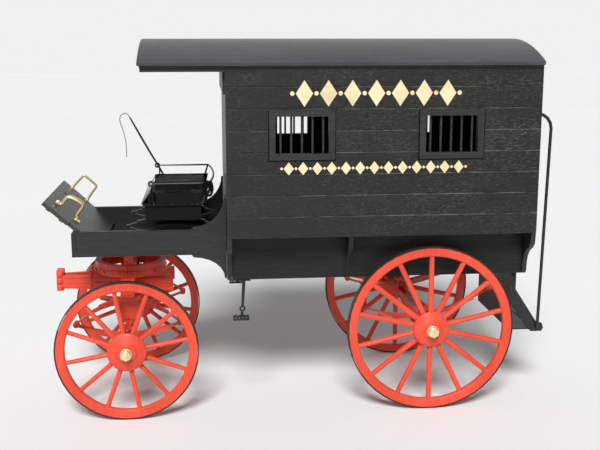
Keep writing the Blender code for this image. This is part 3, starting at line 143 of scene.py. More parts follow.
def make_studio():
    """Pale paper floor, one broad soft lamp from the camera's side and a light backdrop behind."""
    clear()
    bpy.ops.mesh.primitive_grid_add(x_subdivisions=8, y_subdivisions=8, size=12.0, location=(0, 0, 0))
    floor = bpy.context.object
    floor.name = "studio_floor"
    tree, shader = started("Pale studio paper", 0.2)
    shader.inputs["Roughness"].default_value = 0.9
    cloudy = object_noise(tree, EVEN, 3.0, 2.0, 0.5)
    shade = mixed(tree, cloudy, (0.82, 0.815, 0.815), (0.86, 0.86, 0.86))
    tree.links.new(shade, shader.inputs["Base Color"])
    floor.data.materials.append(FINISHES["Pale studio paper"])

    lamp = bpy.data.lights.new("Broad soft lamp", "SUN")
    lamp.energy = LAMP_STRENGTH
    lamp.angle = math.radians(LAMP_SPREAD)
    lamp_object = bpy.data.objects.new("Broad soft lamp", lamp)
    bpy.context.scene.collection.objects.link(lamp_object)
    rise, drift = math.radians(LAMP_RISE), math.radians(LAMP_DRIFT)
    travel = Vector((math.sin(drift) * math.cos(rise), math.cos(drift) * math.cos(rise), -math.sin(rise)))
    lamp_object.rotation_euler = travel.to_track_quat("-Z", "Y").to_euler()

    world = bpy.data.worlds.new("Studio")
    bpy.context.scene.world = world
    world.use_nodes = True
    tree = world.node_tree
    place = tree.nodes.new("ShaderNodeTexCoord")
    split = tree.nodes.new("ShaderNodeSeparateXYZ")
    tree.links.new(place.outputs["Generated"], split.inputs["Vector"])
    behind = map_range(tree, split.outputs["Y"], -0.1, 0.8, ROOM_AHEAD, ROOM_BEHIND)
    upward = map_range(tree, split.outputs["Z"], 0.1, 0.9, 1.0, ROOM_ABOVE)
    path = tree.nodes.new("ShaderNodeLightPath")
    shown = mixed(tree, path.outputs["Is Camera Ray"], times(tree, behind, upward), (BACKDROP,) * 3)
    tree.links.new(shown, tree.nodes["Background"].inputs["Color"])
    bpy.context.scene.view_settings.view_transform = "Standard"


# Finishes


def object_noise(tree, stretch, scale, detail=6.0, roughness=0.6, twist=0.0):
    """Noise in the piece's own space, drawn out by the three stretch factors."""
    nodes, links = tree.nodes, tree.links
    place = nodes.new("ShaderNodeTexCoord")
    drawn = nodes.new("ShaderNodeMapping")
    drawn.inputs["Scale"].default_value = stretch
    noise = nodes.new("ShaderNodeTexNoise")
    noise.inputs["Scale"].default_value = scale
    noise.inputs["Detail"].default_value = detail
    noise.inputs["Roughness"].default_value = roughness
    noise.inputs["Distortion"].default_value = twist
    links.new(place.outputs["Object"], drawn.inputs["Vector"])
    links.new(drawn.outputs["Vector"], noise.inputs["Vector"])
    return noise.outputs["Fac"]


def map_range(tree, value, low, high, to_low=0.0, to_high=1.0):
    """A value brought from one range to another, and held inside it."""
    node = tree.nodes.new("ShaderNodeMapRange")
    node.inputs["From Min"].default_value = low
    node.inputs["From Max"].default_value = high
    node.inputs["To Min"].default_value = to_low
    node.inputs["To Max"].default_value = to_high
    tree.links.new(value, node.inputs["Value"])
    return node.outputs["Result"]


def mixed(tree, share, first, second):
    """Two colours mixed by a share, each either a socket or an RGB triple."""
    node = tree.nodes.new("ShaderNodeMix")
    node.data_type = "RGBA"
    for socket, colour in ((node.inputs[6], first), (node.inputs[7], second)):
        if isinstance(colour, tuple):
            socket.default_value = (*colour, 1.0)
        else:
            tree.links.new(colour, socket)
    tree.links.new(share, node.inputs[0])
    return node.outputs[2]


def reckoned(tree, operation, *values):
    """One sum on sockets or plain numbers."""
    node = tree.nodes.new("ShaderNodeMath")
    node.operation = operation
    for socket, value in zip(node.inputs, values):
        if isinstance(value, float):
            socket.default_value = value
        else:
            tree.links.new(value, socket)
    return node.outputs[0]


def times(tree, first, second):
    return reckoned(tree, "MULTIPLY", first, second)


def worn_edges(tree, reach):
    """High along sharp edges and broken by fine noise, where paint rubs off."""
    rounded = tree.nodes.new("ShaderNodeBevel")
    rounded.samples = 4
    rounded.inputs["Radius"].default_value = reach
    plain = tree.nodes.new("ShaderNodeNewGeometry")
    agree = tree.nodes.new("ShaderNodeVectorMath")
    agree.operation = "DOT_PRODUCT"
    tree.links.new(rounded.outputs["Normal"], agree.inputs[0])
    tree.links.new(plain.outputs["Normal"], agree.inputs[1])
    edge = map_range(tree, agree.outputs["Value"], 0.99, 0.88)
    return times(tree, edge, map_range(tree, object_noise(tree, EVEN, 260.0, 4.0), 0.40, 0.60))


def bumped(tree, shader, height, strength, distance):
    """Relief on a shader, from a height."""
    bump = tree.nodes.new("ShaderNodeBump")
    bump.inputs["Strength"].default_value = strength
    bump.inputs["Distance"].default_value = distance
    tree.links.new(height, bump.inputs["Height"])
    tree.links.new(bump.outputs["Normal"], shader.inputs["Normal"])


def along(axis, fine=14.0):
    """Stretch factors for a grain that runs along one axis."""
    return tuple(1.0 if i == "XYZ".index(axis) else fine for i in range(3))


FINISHES = {}


def started(name, shine=0.5):
    """A new finish: its node tree and its shader."""
    material = bpy.data.materials.new(name)
    material.use_nodes = True
    FINISHES[name] = material
    shader = material.node_tree.nodes["Principled BSDF"]
    shader.inputs["Specular IOR Level"].default_value = shine
    return material.node_tree, shader


def coated(tree, shader, colour, roughness):
    """Colour and roughness of a finish."""
    tree.links.new(colour, shader.inputs["Base Color"])
    tree.links.new(roughness, shader.inputs["Roughness"])


def painted_wood(name, axis, dark, light, wear, rough=(0.42, 0.62), grain=0.55, shine=0.5):
    """Satin paint on open grained wood that runs along one axis."""
    if name in FINISHES:
        return FINISHES[name]
    tree, shader = started(name, shine)
    fibre = object_noise(tree, along(axis), 60.0, 8.0, 0.68, 0.4)
    pores = object_noise(tree, along(axis, 7.0), 260.0, 5.0, 0.6)
    patches = object_noise(tree, along(axis, 2.5), 16.0, 3.0, 0.5)
    colour = mixed(tree, map_range(tree, fibre, 0.35, 0.65), dark, light)
    deeper = tuple(0.72 * c for c in dark)
    colour = mixed(tree, map_range(tree, patches, 0.40, 0.66, 0.0, 0.55), colour, deeper)
    colour = mixed(tree, times(tree, worn_edges(tree, PAINT_WEAR), 0.55), colour, wear)
    coated(tree, shader, colour, map_range(tree, pores, 0.3, 0.7, *rough))
    bumped(tree, shader, reckoned(tree, "ADD", fibre, pores), grain, GRAIN_DEPTH)
    return FINISHES[name]


def black_wood(axis):
    """The wagon's black paint; the axis is the grain's."""
    name = {"X": "Black paint, grain lengthwise", "Y": "Black paint, grain across",
            "Z": "Black paint, grain upright"}[axis]
    return painted_wood(name, axis, (0.0075, 0.0078, 0.0078), (0.022, 0.0225, 0.022),
                        (0.20, 0.195, 0.18), (0.34, 0.55))


# Near-black paint with little shine, darker than the wagon's black: painted shade for the seat's pan and
# riser, the seat's side cheeks and the lines round the window trims, which all lie in shade
def dull_shade_black():
    return painted_wood("Dull black, darkened as painted shade", "Y", (0.0022, 0.0022, 0.0024), (0.0075, 0.0075, 0.0075),
                        (0.06, 0.06, 0.055), (0.62, 0.8), 0.5, 0.14)


# Darker than the wagon's black: painted shade for the lower sides, which lie in shadow under the body's
# overhang
def lower_shade_paint():
    return painted_wood("Black paint of the lower sides, darkened as painted shade", "X", (0.0038, 0.0040, 0.0038),
                        (0.0120, 0.0124, 0.0112), (0.16, 0.155, 0.14), (0.40, 0.60), 0.5, 0.36)


# Lighter than the wagon's black: the upward-facing toe board's paint carries a painted sheen of the light
# from above and of the bright backdrop
def toe_sheen_paint():
    return painted_wood("Black paint of the toe board, lightened as painted sheen", "Y", (0.034, 0.036, 0.038),
                        (0.058, 0.0605, 0.063), BARE_GREY, (0.32, 0.48), 0.4)


def trim_paint():
    return painted_wood("Black paint of the window trims", "X", (0.011, 0.0115, 0.011),
                        (0.030, 0.031, 0.029), BARE_WOOD, (0.36, 0.55), 0.4)


def planked_side():
    """Black paint over horizontal planks: each plank its own tone, with a painted highlight along its upper
    edge and painted glints of sheen.
    """
    name = "Black planked side"
    if name in FINISHES:
        return FINISHES[name]
    tree, shader = started(name, 0.42)
    place = tree.nodes.new("ShaderNodeTexCoord")
    split = tree.nodes.new("ShaderNodeSeparateXYZ")
    tree.links.new(place.outputs["Object"], split.inputs["Vector"])
    lengthwise, upright = split.outputs["X"], split.outputs["Z"]
    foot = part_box("side_left")[0].z
    rows = reckoned(tree, "DIVIDE", reckoned(tree, "SUBTRACT", upright, foot), PLANK_PITCH)
    row, up = reckoned(tree, "FLOOR", rows), reckoned(tree, "FRACT", rows)
    luck = tree.nodes.new("ShaderNodeTexWhiteNoise")
    luck.noise_dimensions = "1D"
    tree.links.new(row, luck.inputs["W"])

    fibre = object_noise(tree, (1, 3.4, 3.4), 400.0, 7.0, 0.76, 0.4)
    streaks = object_noise(tree, (1, 14, 14), 60.0, 8.0, 0.68, 0.4)
    patches = object_noise(tree, (1, 2, 2), 22.0, 4.0, 0.6)
    colour = mixed(tree, map_range(tree, streaks, 0.36, 0.66), (0.0040, 0.0042, 0.0036),
                   (0.0125, 0.013, 0.0112))
    # Greyer towards the front, and painted glints of sheen in the grain, more of them up and to the rear
    # where the light falls stronger
    greyer = map_range(tree, lengthwise, -0.05, 0.07, 0.75, 0.0)
    colour = mixed(tree, greyer, colour, (0.0125, 0.0132, 0.0145))
    lean = reckoned(tree, "ADD", lengthwise, times(tree, upright, 1.3))
    sheen = times(tree, map_range(tree, lean, 0.16, 0.40, 0.30, 1.0),
                  map_range(tree, patches, 0.38, 0.62, 0.35, 1.4))
    painted_glints = times(tree, map_range(tree, fibre, 0.50, 0.66), sheen)
    colour = mixed(tree, painted_glints, colour, (0.086, 0.088, 0.074))
    # Each plank's own tone
    deeper = map_range(tree, luck.outputs["Value"], 0.0, 1.0, 0.0, 0.35)
    colour = mixed(tree, deeper, colour, (0.004, 0.0042, 0.0042))
    # A painted highlight along each plank's upper edge, where the groove's lip catches the light from above,
    # broken along its length and fainter towards the front
    lip = map_range(tree, up, 0.945, 0.965)
    breaks = map_range(tree, object_noise(tree, (1, 0.2, 9), 60.0, 6.0, 0.7), 0.42, 0.60, 0.05, 1.0)
    fainter = map_range(tree, lengthwise, -0.04, 0.06, 0.35, 1.0)
    rubbing_and_lip_light = times(tree, times(tree, lip, breaks), fainter)
    colour = mixed(tree, rubbing_and_lip_light, colour, (0.120, 0.118, 0.100))
    colour = mixed(tree, times(tree, worn_edges(tree, PAINT_WEAR), 0.35), colour, BARE_WOOD)
    coated(tree, shader, colour, map_range(tree, fibre, 0.3, 0.7, 0.38, 0.60))
    bumped(tree, shader, reckoned(tree, "ADD", fibre, streaks), 0.6, GRAIN_DEPTH)
    return FINISHES[name]


def roof_paint():
    return painted_wood("Grey black roof paint", "X", (0.038, 0.043, 0.045), (0.058, 0.064, 0.066),
                        BARE_GREY, (0.30, 0.44), 0.22)


def red_paint():
    return painted_wood("Red carriage paint", "Z", (0.70, 0.062, 0.030), (0.82, 0.094, 0.052),
                        (0.88, 0.17, 0.11), (0.32, 0.46), 0.10, 0.34)


def metal(name, dark, light, metallic, rough, wear, scale=300.0, bump=0.15):
    """Cast, rolled or blackened metal with a fine uneven surface."""
    if name in FINISHES:
        return FINISHES[name]
    tree, shader = started(name)
    shader.inputs["Metallic"].default_value = metallic
    skin = object_noise(tree, EVEN, scale, 6.0, 0.65)
    stain = object_noise(tree, EVEN, 0.12 * scale, 4.0, 0.6)
    colour = mixed(tree, map_range(tree, skin, 0.35, 0.68), dark, light)
    dirt = tuple(0.6 * c for c in dark)
    colour = mixed(tree, map_range(tree, stain, 0.48, 0.70, 0.0, 0.6), colour, dirt)
    colour = mixed(tree, times(tree, worn_edges(tree, METAL_WEAR), 0.7), colour, wear)
    coated(tree, shader, colour, map_range(tree, stain, 0.3, 0.7, *rough))
    bumped(tree, shader, skin, bump, 0.05 * MM)
    return FINISHES[name]


def black_iron():
    return metal("Blackened iron", (0.018, 0.018, 0.019), (0.034, 0.034, 0.036), 0.35, (0.34, 0.55),
                 (0.12, 0.115, 0.11))


def dark_tyre():
    return metal("Dark tyre", (0.016, 0.011, 0.010), (0.034, 0.024, 0.020), 0.1, (0.45, 0.66),
                 (0.10, 0.07, 0.055), 420.0, 0.3)


def polished_brass():
    return metal("Polished brass", (0.86, 0.66, 0.34), (0.96, 0.82, 0.52), 0.66, (0.26, 0.40),
                 (0.99, 0.92, 0.70), 240.0, 0.08)


def gilt():
    return metal("Gilt paint", (0.82, 0.68, 0.40), (0.90, 0.78, 0.52), 0.15, (0.40, 0.55),
                 (0.94, 0.86, 0.62), 260.0, 0.12)


def black_leather():
    """Black leather with a pebbled grain, folds and rubbed patches."""
    name = "Black seat leather"
    if name in FINISHES:
        return FINISHES[name]
    tree, shader = started(name, 0.08)
    place = tree.nodes.new("ShaderNodeTexCoord")
    pebbles = tree.nodes.new("ShaderNodeTexVoronoi")
    pebbles.feature = "DISTANCE_TO_EDGE"
    pebbles.inputs["Scale"].default_value = 900.0
    tree.links.new(place.outputs["Object"], pebbles.inputs["Vector"])
    folds = object_noise(tree, EVEN, 130.0, 5.0, 0.6)
    rubbing_and_lip_light = object_noise(tree, EVEN, 36.0, 3.0, 0.5)
    colour = mixed(tree, map_range(tree, rubbing_and_lip_light, 0.4, 0.7), (0.003, 0.003, 0.0034),
                   (0.008, 0.0078, 0.0075))
    coated(tree, shader, colour, map_range(tree, rubbing_and_lip_light, 0.35, 0.7, 0.62, 0.42))
    grain = map_range(tree, pebbles.outputs["Distance"], 0.0, 0.1)
    bumped(tree, shader, reckoned(tree, "ADD", grain, folds), 0.35, 0.08 * MM)
    return FINISHES[name]


def glossy_leather():
    return painted_wood("Glossy black leather", "Y", (0.006, 0.006, 0.0065), (0.012, 0.012, 0.012),
                        (0.05, 0.05, 0.05), (0.16, 0.26), 0.03)


def pale_wire():
    return painted_wood("Pale whip end", "Z", (0.30, 0.29, 0.28), (0.42, 0.41, 0.39), (0.5, 0.48, 0.45),
                        (0.6, 0.8), 0.3)


# The usual finish of a fitting in each slot
SLOT_FINISHES = {"black_iron": black_iron, "red_paint": red_paint, "brass": polished_brass,
                 "leather": black_leather}
GRAIN_LENGTHWISE = ("bench_left bench_right cell_floor driver_floor driver_side_left driver_side_right "
                    "canopy_frame rear_step").split()
GRAIN_ACROSS = "bulkhead front_board rear_wall".split()
WINDOWS = "window_left_front window_left_rear window_right_front window_right_rear".split()
IRON_NODES = ("seat_rail seat_spring_left seat_spring_right handrail_left handrail_right driver_step_left "
              "driver_step_right whip door_hinge_plate").split()
RED_NODES = ("front_axle rear_axle front_spring_left front_spring_right rear_spring_left "
             "rear_spring_right futchells turntable_lower turntable_upper").split()


def finish_frame():
    """A finish for every piece of the frame, in place of its plain one."""
    def give(names, material):
        for name in names:
            for holder in nodes_by_name[name].material_slots:
                holder.link = "OBJECT"
                holder.material = material
    give(GRAIN_LENGTHWISE, black_wood("X"))
    give(GRAIN_ACROSS, black_wood("Y"))
    give(["rear_door"], black_wood("Z"))
    give(["side_left", "side_right"], planked_side())
    give(WINDOWS, trim_paint())
    # The toe board takes the lightened black as painted sheen
    give(["toe_board"], toe_sheen_paint())
    # The lower sides take the darkened black as painted shade
    give(["lower_side_left", "lower_side_right"], lower_shade_paint())
    # The seat's pan and riser take the darkened black as painted shade, since they lie in deep shade under
    # the seat
    give(["seat_pan", "seat_riser"], dull_shade_black())
    give(["roof"], roof_paint())
    give(IRON_NODES, black_iron())
    give(RED_NODES + ["wheel_" + n for n in WHEEL_NAMES], red_paint())
    give(["tyre_" + n for n in WHEEL_NAMES], dark_tyre())
    give(["nut_" + n for n in WHEEL_NAMES] + ["brake_pedal", "rein_loop"], polished_brass())
    give(["seat_cushion"], black_leather())


# Ways of making the small pieces


def clear():
    bpy.ops.object.select_all(action="DESELECT")


def take(*pieces):
    """Select these pieces alone; the first one is active."""
    clear()
    for piece in pieces:
        piece.select_set(True)
    bpy.context.view_layer.objects.active = pieces[0]


def in_mm(*rows):
    """Rows of sizes in millimetres, as metres."""
    return [tuple(MM * size for size in row) for row in rows]


def settle(piece):
    """Put a piece's place into its mesh."""
    take(piece)
    bpy.ops.object.transform_apply(location=True, rotation=True, scale=True)
    return piece


def start_block(name, low, high):
    """A plain block to shape, between two corners."""
    clear()
    low, high = Vector(low), Vector(high)
    bpy.ops.mesh.primitive_cube_add(size=1, location=(low + high) / 2)
    piece = bpy.context.object
    piece.name = name
    piece.scale = high - low
    return settle(piece)


def start_disc(name, centre, radius, facing, sides=16):
    """A flat round blank to shape, facing one way."""
    clear()
    turn = Vector(facing).to_track_quat("Z", "Y").to_euler()
    bpy.ops.mesh.primitive_circle_add(vertices=sides, radius=radius, fill_type="NGON",
                                      location=centre, rotation=turn)
    piece = bpy.context.object
    piece.name = name
    return settle(piece)


def open_mesh():
    """Go into the active piece's mesh, with all of it selected."""
    bpy.ops.object.mode_set(mode="EDIT")
    bpy.ops.mesh.select_all(action="SELECT")


def close_mesh():
    bpy.ops.object.mode_set(mode="OBJECT")


def pick_faces(piece, wanted):
    """Go into the active piece's mesh, with the faces selected for which wanted(centre, normal) holds."""
    bpy.ops.object.mode_set(mode="EDIT")
    bpy.ops.mesh.select_all(action="DESELECT")
    mesh = bmesh.from_edit_mesh(piece.data)
    for face in mesh.faces:
        if wanted(face.calc_center_median(), face.normal):
            face.select_set(True)
    bmesh.update_edit_mesh(piece.data)


def face_outwards(piece):
    """Merge doubles and point every face outwards."""
    take(piece)
    open_mesh()
    bpy.ops.mesh.remove_doubles(threshold=0.002 * MM)
    bpy.ops.mesh.normals_make_consistent(inside=False)
    close_mesh()
    return piece


def stud(name, centre, facing, rings, sides=12):
    """A nail head, bolt or boss: a blank raised through rings of (height, radius), as if turned."""
    piece = start_disc(name, centre, rings[0][1], facing, sides)
    facing = Vector(facing).normalized()
    open_mesh()
    height, radius = rings[0]
    for next_height, next_radius in rings[1:]:
        rise = facing * (next_height - height)
        bpy.ops.mesh.extrude_region_move(TRANSFORM_OT_translate={"value": rise})
        share = next_radius / radius
        bpy.ops.transform.resize(value=(share, share, share),
                                 center_override=Vector(centre) + facing * next_height)
        height, radius = next_height, next_radius
    close_mesh()
    return face_outwards(piece)


def dome(name, centre, facing, radius, height, sides=12):
    """A low round head; its sizes are in millimetres."""
    radius, height = radius * MM, height * MM
    rings = [(0.0, radius), (0.45 * height, radius), (0.8 * height, 0.78 * radius), (height, 0.35 * radius)]
    return stud(name, centre, facing, rings, sides)


def hoop(name, centre, axis, radius, wire_radius, steps=24, sides=8):
    """A closed round ring of wire, spun about its axis."""
    axis = Vector(axis).normalized()
    outward = axis.orthogonal().normalized()
    piece = start_disc(name, Vector(centre) + outward * radius, wire_radius, axis.cross(outward), sides)
    open_mesh()
    bpy.ops.mesh.delete(type="ONLY_FACE")
    bpy.ops.mesh.select_all(action="SELECT")
    bpy.ops.mesh.spin(steps=steps, angle=math.tau, center=centre, axis=axis)
    close_mesh()
    return face_outwards(piece)


def bent_wire(name, points, radii):
    """A round wire drawn through points, of one radius or of one for each point."""
    if isinstance(radii, float):
        radii = [radii] * len(points)
    clear()
    bpy.ops.mesh.primitive_plane_add(size=MM, location=points[0])
    piece = settle(bpy.context.object)
    piece.name = name
    open_mesh()
    bpy.ops.mesh.merge(type="CENTER")
    for here, there in zip(points, points[1:]):
        bpy.ops.mesh.extrude_region_move(TRANSFORM_OT_translate={"value": Vector(there) - Vector(here)})
    close_mesh()
    skin = piece.modifiers.new("Round", "SKIN")
    held = piece.data.skin_vertices[0].data
    held[0].use_root = True
    for point, radius in zip(held, radii):
        point.radius = (SKIN_SHARE * radius, SKIN_SHARE * radius)
    smooth = piece.modifiers.new("Smooth", "SUBSURF")
    smooth.levels = smooth.render_levels = 2
    for modifier in (skin.name, smooth.name):
        bpy.ops.object.modifier_apply(modifier=modifier)
    return face_outwards(piece)


def soft_edges(piece, width, segments=2):
    """Round every edge of a piece a little; the width is in millimetres."""
    take(piece)
    bevel = piece.modifiers.new("Soft edges", "BEVEL")
    bevel.width = width * MM
    bevel.segments = segments
    bevel.limit_method = "ANGLE"
    bevel.angle_limit = math.radians(40)
    bpy.ops.object.modifier_apply(modifier=bevel.name)
    return piece


def soft_block(name, low, high, width, segments=2):
    """A block between two corners, its edges rounded."""
    return soft_edges(start_block(name, low, high), width, segments)


def joined(name, pieces):
    """Several pieces as one."""
    take(*pieces)
    if len(pieces) > 1:
        bpy.ops.object.join()
    pieces[0].name = name
    return pieces[0]


def copied(piece, place):
    """A copy of a piece with a mesh of its own, moved by a matrix."""
    mesh = piece.data.copy()
    mesh.transform(place)
    if place.determinant() < 0:
        mesh.flip_normals()
    twin = bpy.data.objects.new(piece.name, mesh)
    bpy.context.scene.collection.objects.link(twin)
    return twin


def spread(name, piece, places):
    """A piece set out at every place of a list, as one; the pattern piece itself goes."""
    copies = [copied(piece, place) for place in places]
    bpy.data.objects.remove(piece)
    return joined(name, copies)


def shift(x=0.0, y=0.0, z=0.0):
    return Matrix.Translation((x, y, z))


def round_about(centre, axis, count, first=0.0):
    """Even turns about an axis through a centre, from a share of one step on."""
    middle = Matrix.Translation(centre)
    return [middle @ Matrix.Rotation(math.tau * (i + first) / count, 4, axis) @ middle.inverted()
            for i in range(count)]


def finish(piece, body, slot, material=None, angle=35.0):
    """Smooth a piece by angle, paint it and hang it on its body."""
    take(piece)
    bpy.ops.object.shade_smooth_by_angle(angle=math.radians(angle))
    piece.data.materials.clear()
    piece.data.materials.append(material or SLOT_FINISHES[slot]())
    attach(piece, body)
    return piece


def both_sides(name, piece, body, slot, material=None):
    """The left side's piece and its mirror copy on the right."""
    right = copied(piece, FLIP)
    piece.name = name + "_left"
    right.name = name + "_right"
    finish(right, body, slot, material)
    return finish(piece, body, slot, material), right


# The cushion


def make_cushion():
    """The driver's cushion, blown up by pressure, leaning back, with sewn grooves and piping."""
    low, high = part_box("seat_cushion")
    lean = CUSHION_LEAN
    cushion = start_block("cushion", (low.x + 0.8 * MM, low.y + 0.8 * MM, low.z + 0.2 * MM),
                          (high.x - lean - 0.8 * MM, high.y - 0.8 * MM, high.z - 1.0 * MM))
    pick_faces(cushion, lambda centre, normal: normal.z > 0.9)
    bpy.ops.transform.translate(value=(lean - 0.6 * MM, 0, 0))
    bpy.ops.mesh.select_all(action="SELECT")
    bpy.ops.mesh.bevel(offset=1.8 * MM, segments=3, affect="EDGES")
    bpy.ops.mesh.subdivide(number_cuts=2)
    close_mesh()
    voxels = cushion.modifiers.new("Even mesh", "REMESH")
    voxels.mode = "VOXEL"
    voxels.voxel_size = 0.9 * MM
    bpy.ops.object.modifier_apply(modifier=voxels.name)
    start = [v.co.copy() for v in cushion.data.vertices]
    bpy.context.scene.frame_set(1)
    cloth = cushion.modifiers.new("Cloth", "CLOTH")
    cloth.settings.use_pressure = True
    cloth.settings.uniform_pressure_force = 4.0
    cloth.settings.effector_weights.gravity = 0.0
    cloth.settings.quality = 6
    for step in range(1, 21):
        bpy.context.scene.frame_set(step)
    bpy.ops.object.modifier_apply(modifier=cloth.name)
    bpy.context.scene.frame_set(1)
    for vertex, before in zip(cushion.data.vertices, start):
        moved = vertex.co - before
        if moved.length > CUSHION_SWELL:
            moved *= CUSHION_SWELL / moved.length
        vertex.co = before + moved
    rest = low.z + 0.05 * MM
    for vertex in cushion.data.vertices:
        vertex.co.x = min(max(vertex.co.x, low.x), high.x)
        vertex.co.y = min(max(vertex.co.y, low.y), high.y)
        vertex.co.z = min(max(vertex.co.z, rest), high.z)
    take(cushion)
    smooth = cushion.modifiers.new("Smooth", "SUBSURF")
    smooth.levels = smooth.render_levels = 1
    bpy.ops.object.modifier_apply(modifier=smooth.name)
    groove, groove_width = 0.35 * MM, 1.4 * MM
    rib = (high.y - low.y) / CUSHION_RIBS
    for vertex in cushion.data.vertices:
        if vertex.co.z > high.z - 2.2 * MM:
            nearest = round((vertex.co.y - low.y) / rib) * rib + low.y
            off = abs(vertex.co.y - nearest) / groove_width
            if abs(nearest) < high.y - 2 * MM:
                vertex.co.z -= groove * math.exp(-off * off)
    bpy.ops.object.shade_smooth()
    cushion.data.materials.append(black_leather())
    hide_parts("seat_cushion")
    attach(cushion, "wagon")

    edge = low.z + 1.2 * MM
    inset = 0.45 * MM
    front, back = low.x + inset + 0.6 * MM, high.x - lean - inset + 0.4 * MM
    left, right = low.y + inset, high.y - inset
    corners = [(front, left), (back, left), (back, right), (front, right)]
    run = []
    steps = 6
    for (x0, y0), (x1, y1) in zip(corners, corners[1:] + corners[:1]):
        for i in range(steps):
            share = (i + 0.5) / steps
            run.append((x0 + (x1 - x0) * share, y0 + (y1 - y0) * share, edge))
    run.append(run[0])
    finish(bent_wire("cushion_piping", run, 0.4 * MM), "wagon", "leather", angle=60)


# Fittings of the cell


def nail_places():
    """Where the nails go on the left side: up both ends of every plank and along the lowest one."""
    low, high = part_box("side_left")
    pitch = (high.z - 1.2 * MM - low.z) / PLANKS
    places = []
    for i in range(PLANKS):
        for share in (0.28, 0.72):
            z = low.z + (i + share) * pitch
            for x in (low.x + NAIL_IN, high.x - NAIL_IN):
                places.append(shift(x, low.y, z))
    for i in range(1, LOWEST_NAILS):
        x = low.x + NAIL_IN + (high.x - low.x - 2 * NAIL_IN) * i / LOWEST_NAILS
        places.append(shift(x, low.y, low.z + 1.9 * MM))
    return places


def gilt_band(name, left, right, z, half, count):
    """A running band of raised lozenges with studs between them, on both sides of the cell."""
    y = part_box("side_left")[0].y
    pitch = (right - left) / count
    proud = 0.16 * MM
    lozenge = start_disc("lozenge", (0, y, 0), 1.0, LEFT, 4)
    open_mesh()
    bpy.ops.transform.resize(value=(0.36 * pitch, 1, half), center_override=(0, y, 0))
    bpy.ops.mesh.extrude_region_move(TRANSFORM_OT_translate={"value": (0, -proud, 0)})
    bpy.ops.mesh.inset(thickness=0.24 * half)
    bpy.ops.transform.translate(value=(0, 0.6 * proud, 0))
    close_mesh()
    face_outwards(lozenge)
    pearl = dome("pearl", (0, y, 0), LEFT, 0.13 * half / MM + 0.35, 0.3)
    bands = [spread("lozenges", lozenge, [shift(left + (i + 0.5) * pitch, 0, z) for i in range(count)]),
             spread("pearls", pearl, [shift(left + i * pitch, 0, z) for i in range(count + 1)])]
    both_sides(name, joined(name, bands), "wagon", "brass", gilt())


def make_side_fittings():
    """Nails, the moulding under the eaves and the gilt lines of both sides."""
    nail = dome("nail", (0, 0, 0), LEFT, 0.42, 0.28, 8)
    both_sides("side_nails", spread("side_nails", nail, nail_places()), "wagon", "black_iron")

    low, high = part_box("side_left")
    eaves_low, eaves_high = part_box("roof")
    face = low.y - 1.5 * MM
    moulding = start_block("eaves_moulding", (eaves_low.x + 1.2 * MM, face, high.z - 3.4 * MM),
                           (eaves_high.x - 1.2 * MM, low.y - 0.12 * MM, high.z - 1.9 * MM))
    pick_faces(moulding, lambda centre, normal: normal.y < -0.9)
    bpy.ops.transform.resize(value=(1, 1, 0.55), center_override=(0, face, high.z - 2.2 * MM))
    close_mesh()
    soft_edges(moulding, 0.25)
    both_sides("eaves_moulding", moulding, "wagon", "black_wood", black_wood("X"))

    left, right = low.x + 42.5 * MM, low.x + 151.0 * MM
    gilt_band("gilt_upper", left, right, 217.0 * MM, 8.4 * MM, 7)
    gilt_band("gilt_lower", left - 7.0 * MM, right + 5.5 * MM, 168.9 * MM, 4.2 * MM, 13)


def make_window_fittings():
    """Screws in the window trims, and a near-black backing a little wider than each trim, whose dark rim is
    a painted shadow line round it.
    """
    show, inset = 0.75 * MM, 1.9 * MM
    for side, sign in SIDES:
        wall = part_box("side_" + side)[0 if sign < 0 else 1].y
        proud = wall + sign * 0.55 * MM
        for end in ENDS:
            low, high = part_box(f"window_{side}_{end}")
            # The backing's near-black rim round the trim is painted shade, standing in for the shadow of the
            # trim's edges
            backing = start_block(f"window_shadow_backing_{side}_{end}",
                                  (low.x - show, min(wall, proud), low.z - show),
                                  (high.x + show, max(wall, proud), high.z + 0.1 * MM))
            pick_faces(backing, lambda centre, normal: abs(normal.y) > 0.9)
            bpy.ops.mesh.inset(thickness=show + 2.0 * MM)
            bpy.ops.mesh.bridge_edge_loops()
            close_mesh()
            finish(face_outwards(backing), "wagon", "black_wood", dull_shade_black())
            face = low.y if sign < 0 else high.y
            screw = dome("screw", (0, face, 0), (0, sign, 0), 0.5, 0.3, 10)
            places = [shift(x, 0, z) for x in (low.x + inset, (low.x + high.x) / 2, high.x - inset)
                      for z in (low.z + inset, high.z - inset)]
            finish(spread(f"window_screws_{side}_{end}", screw, places), "wagon", "black_iron")


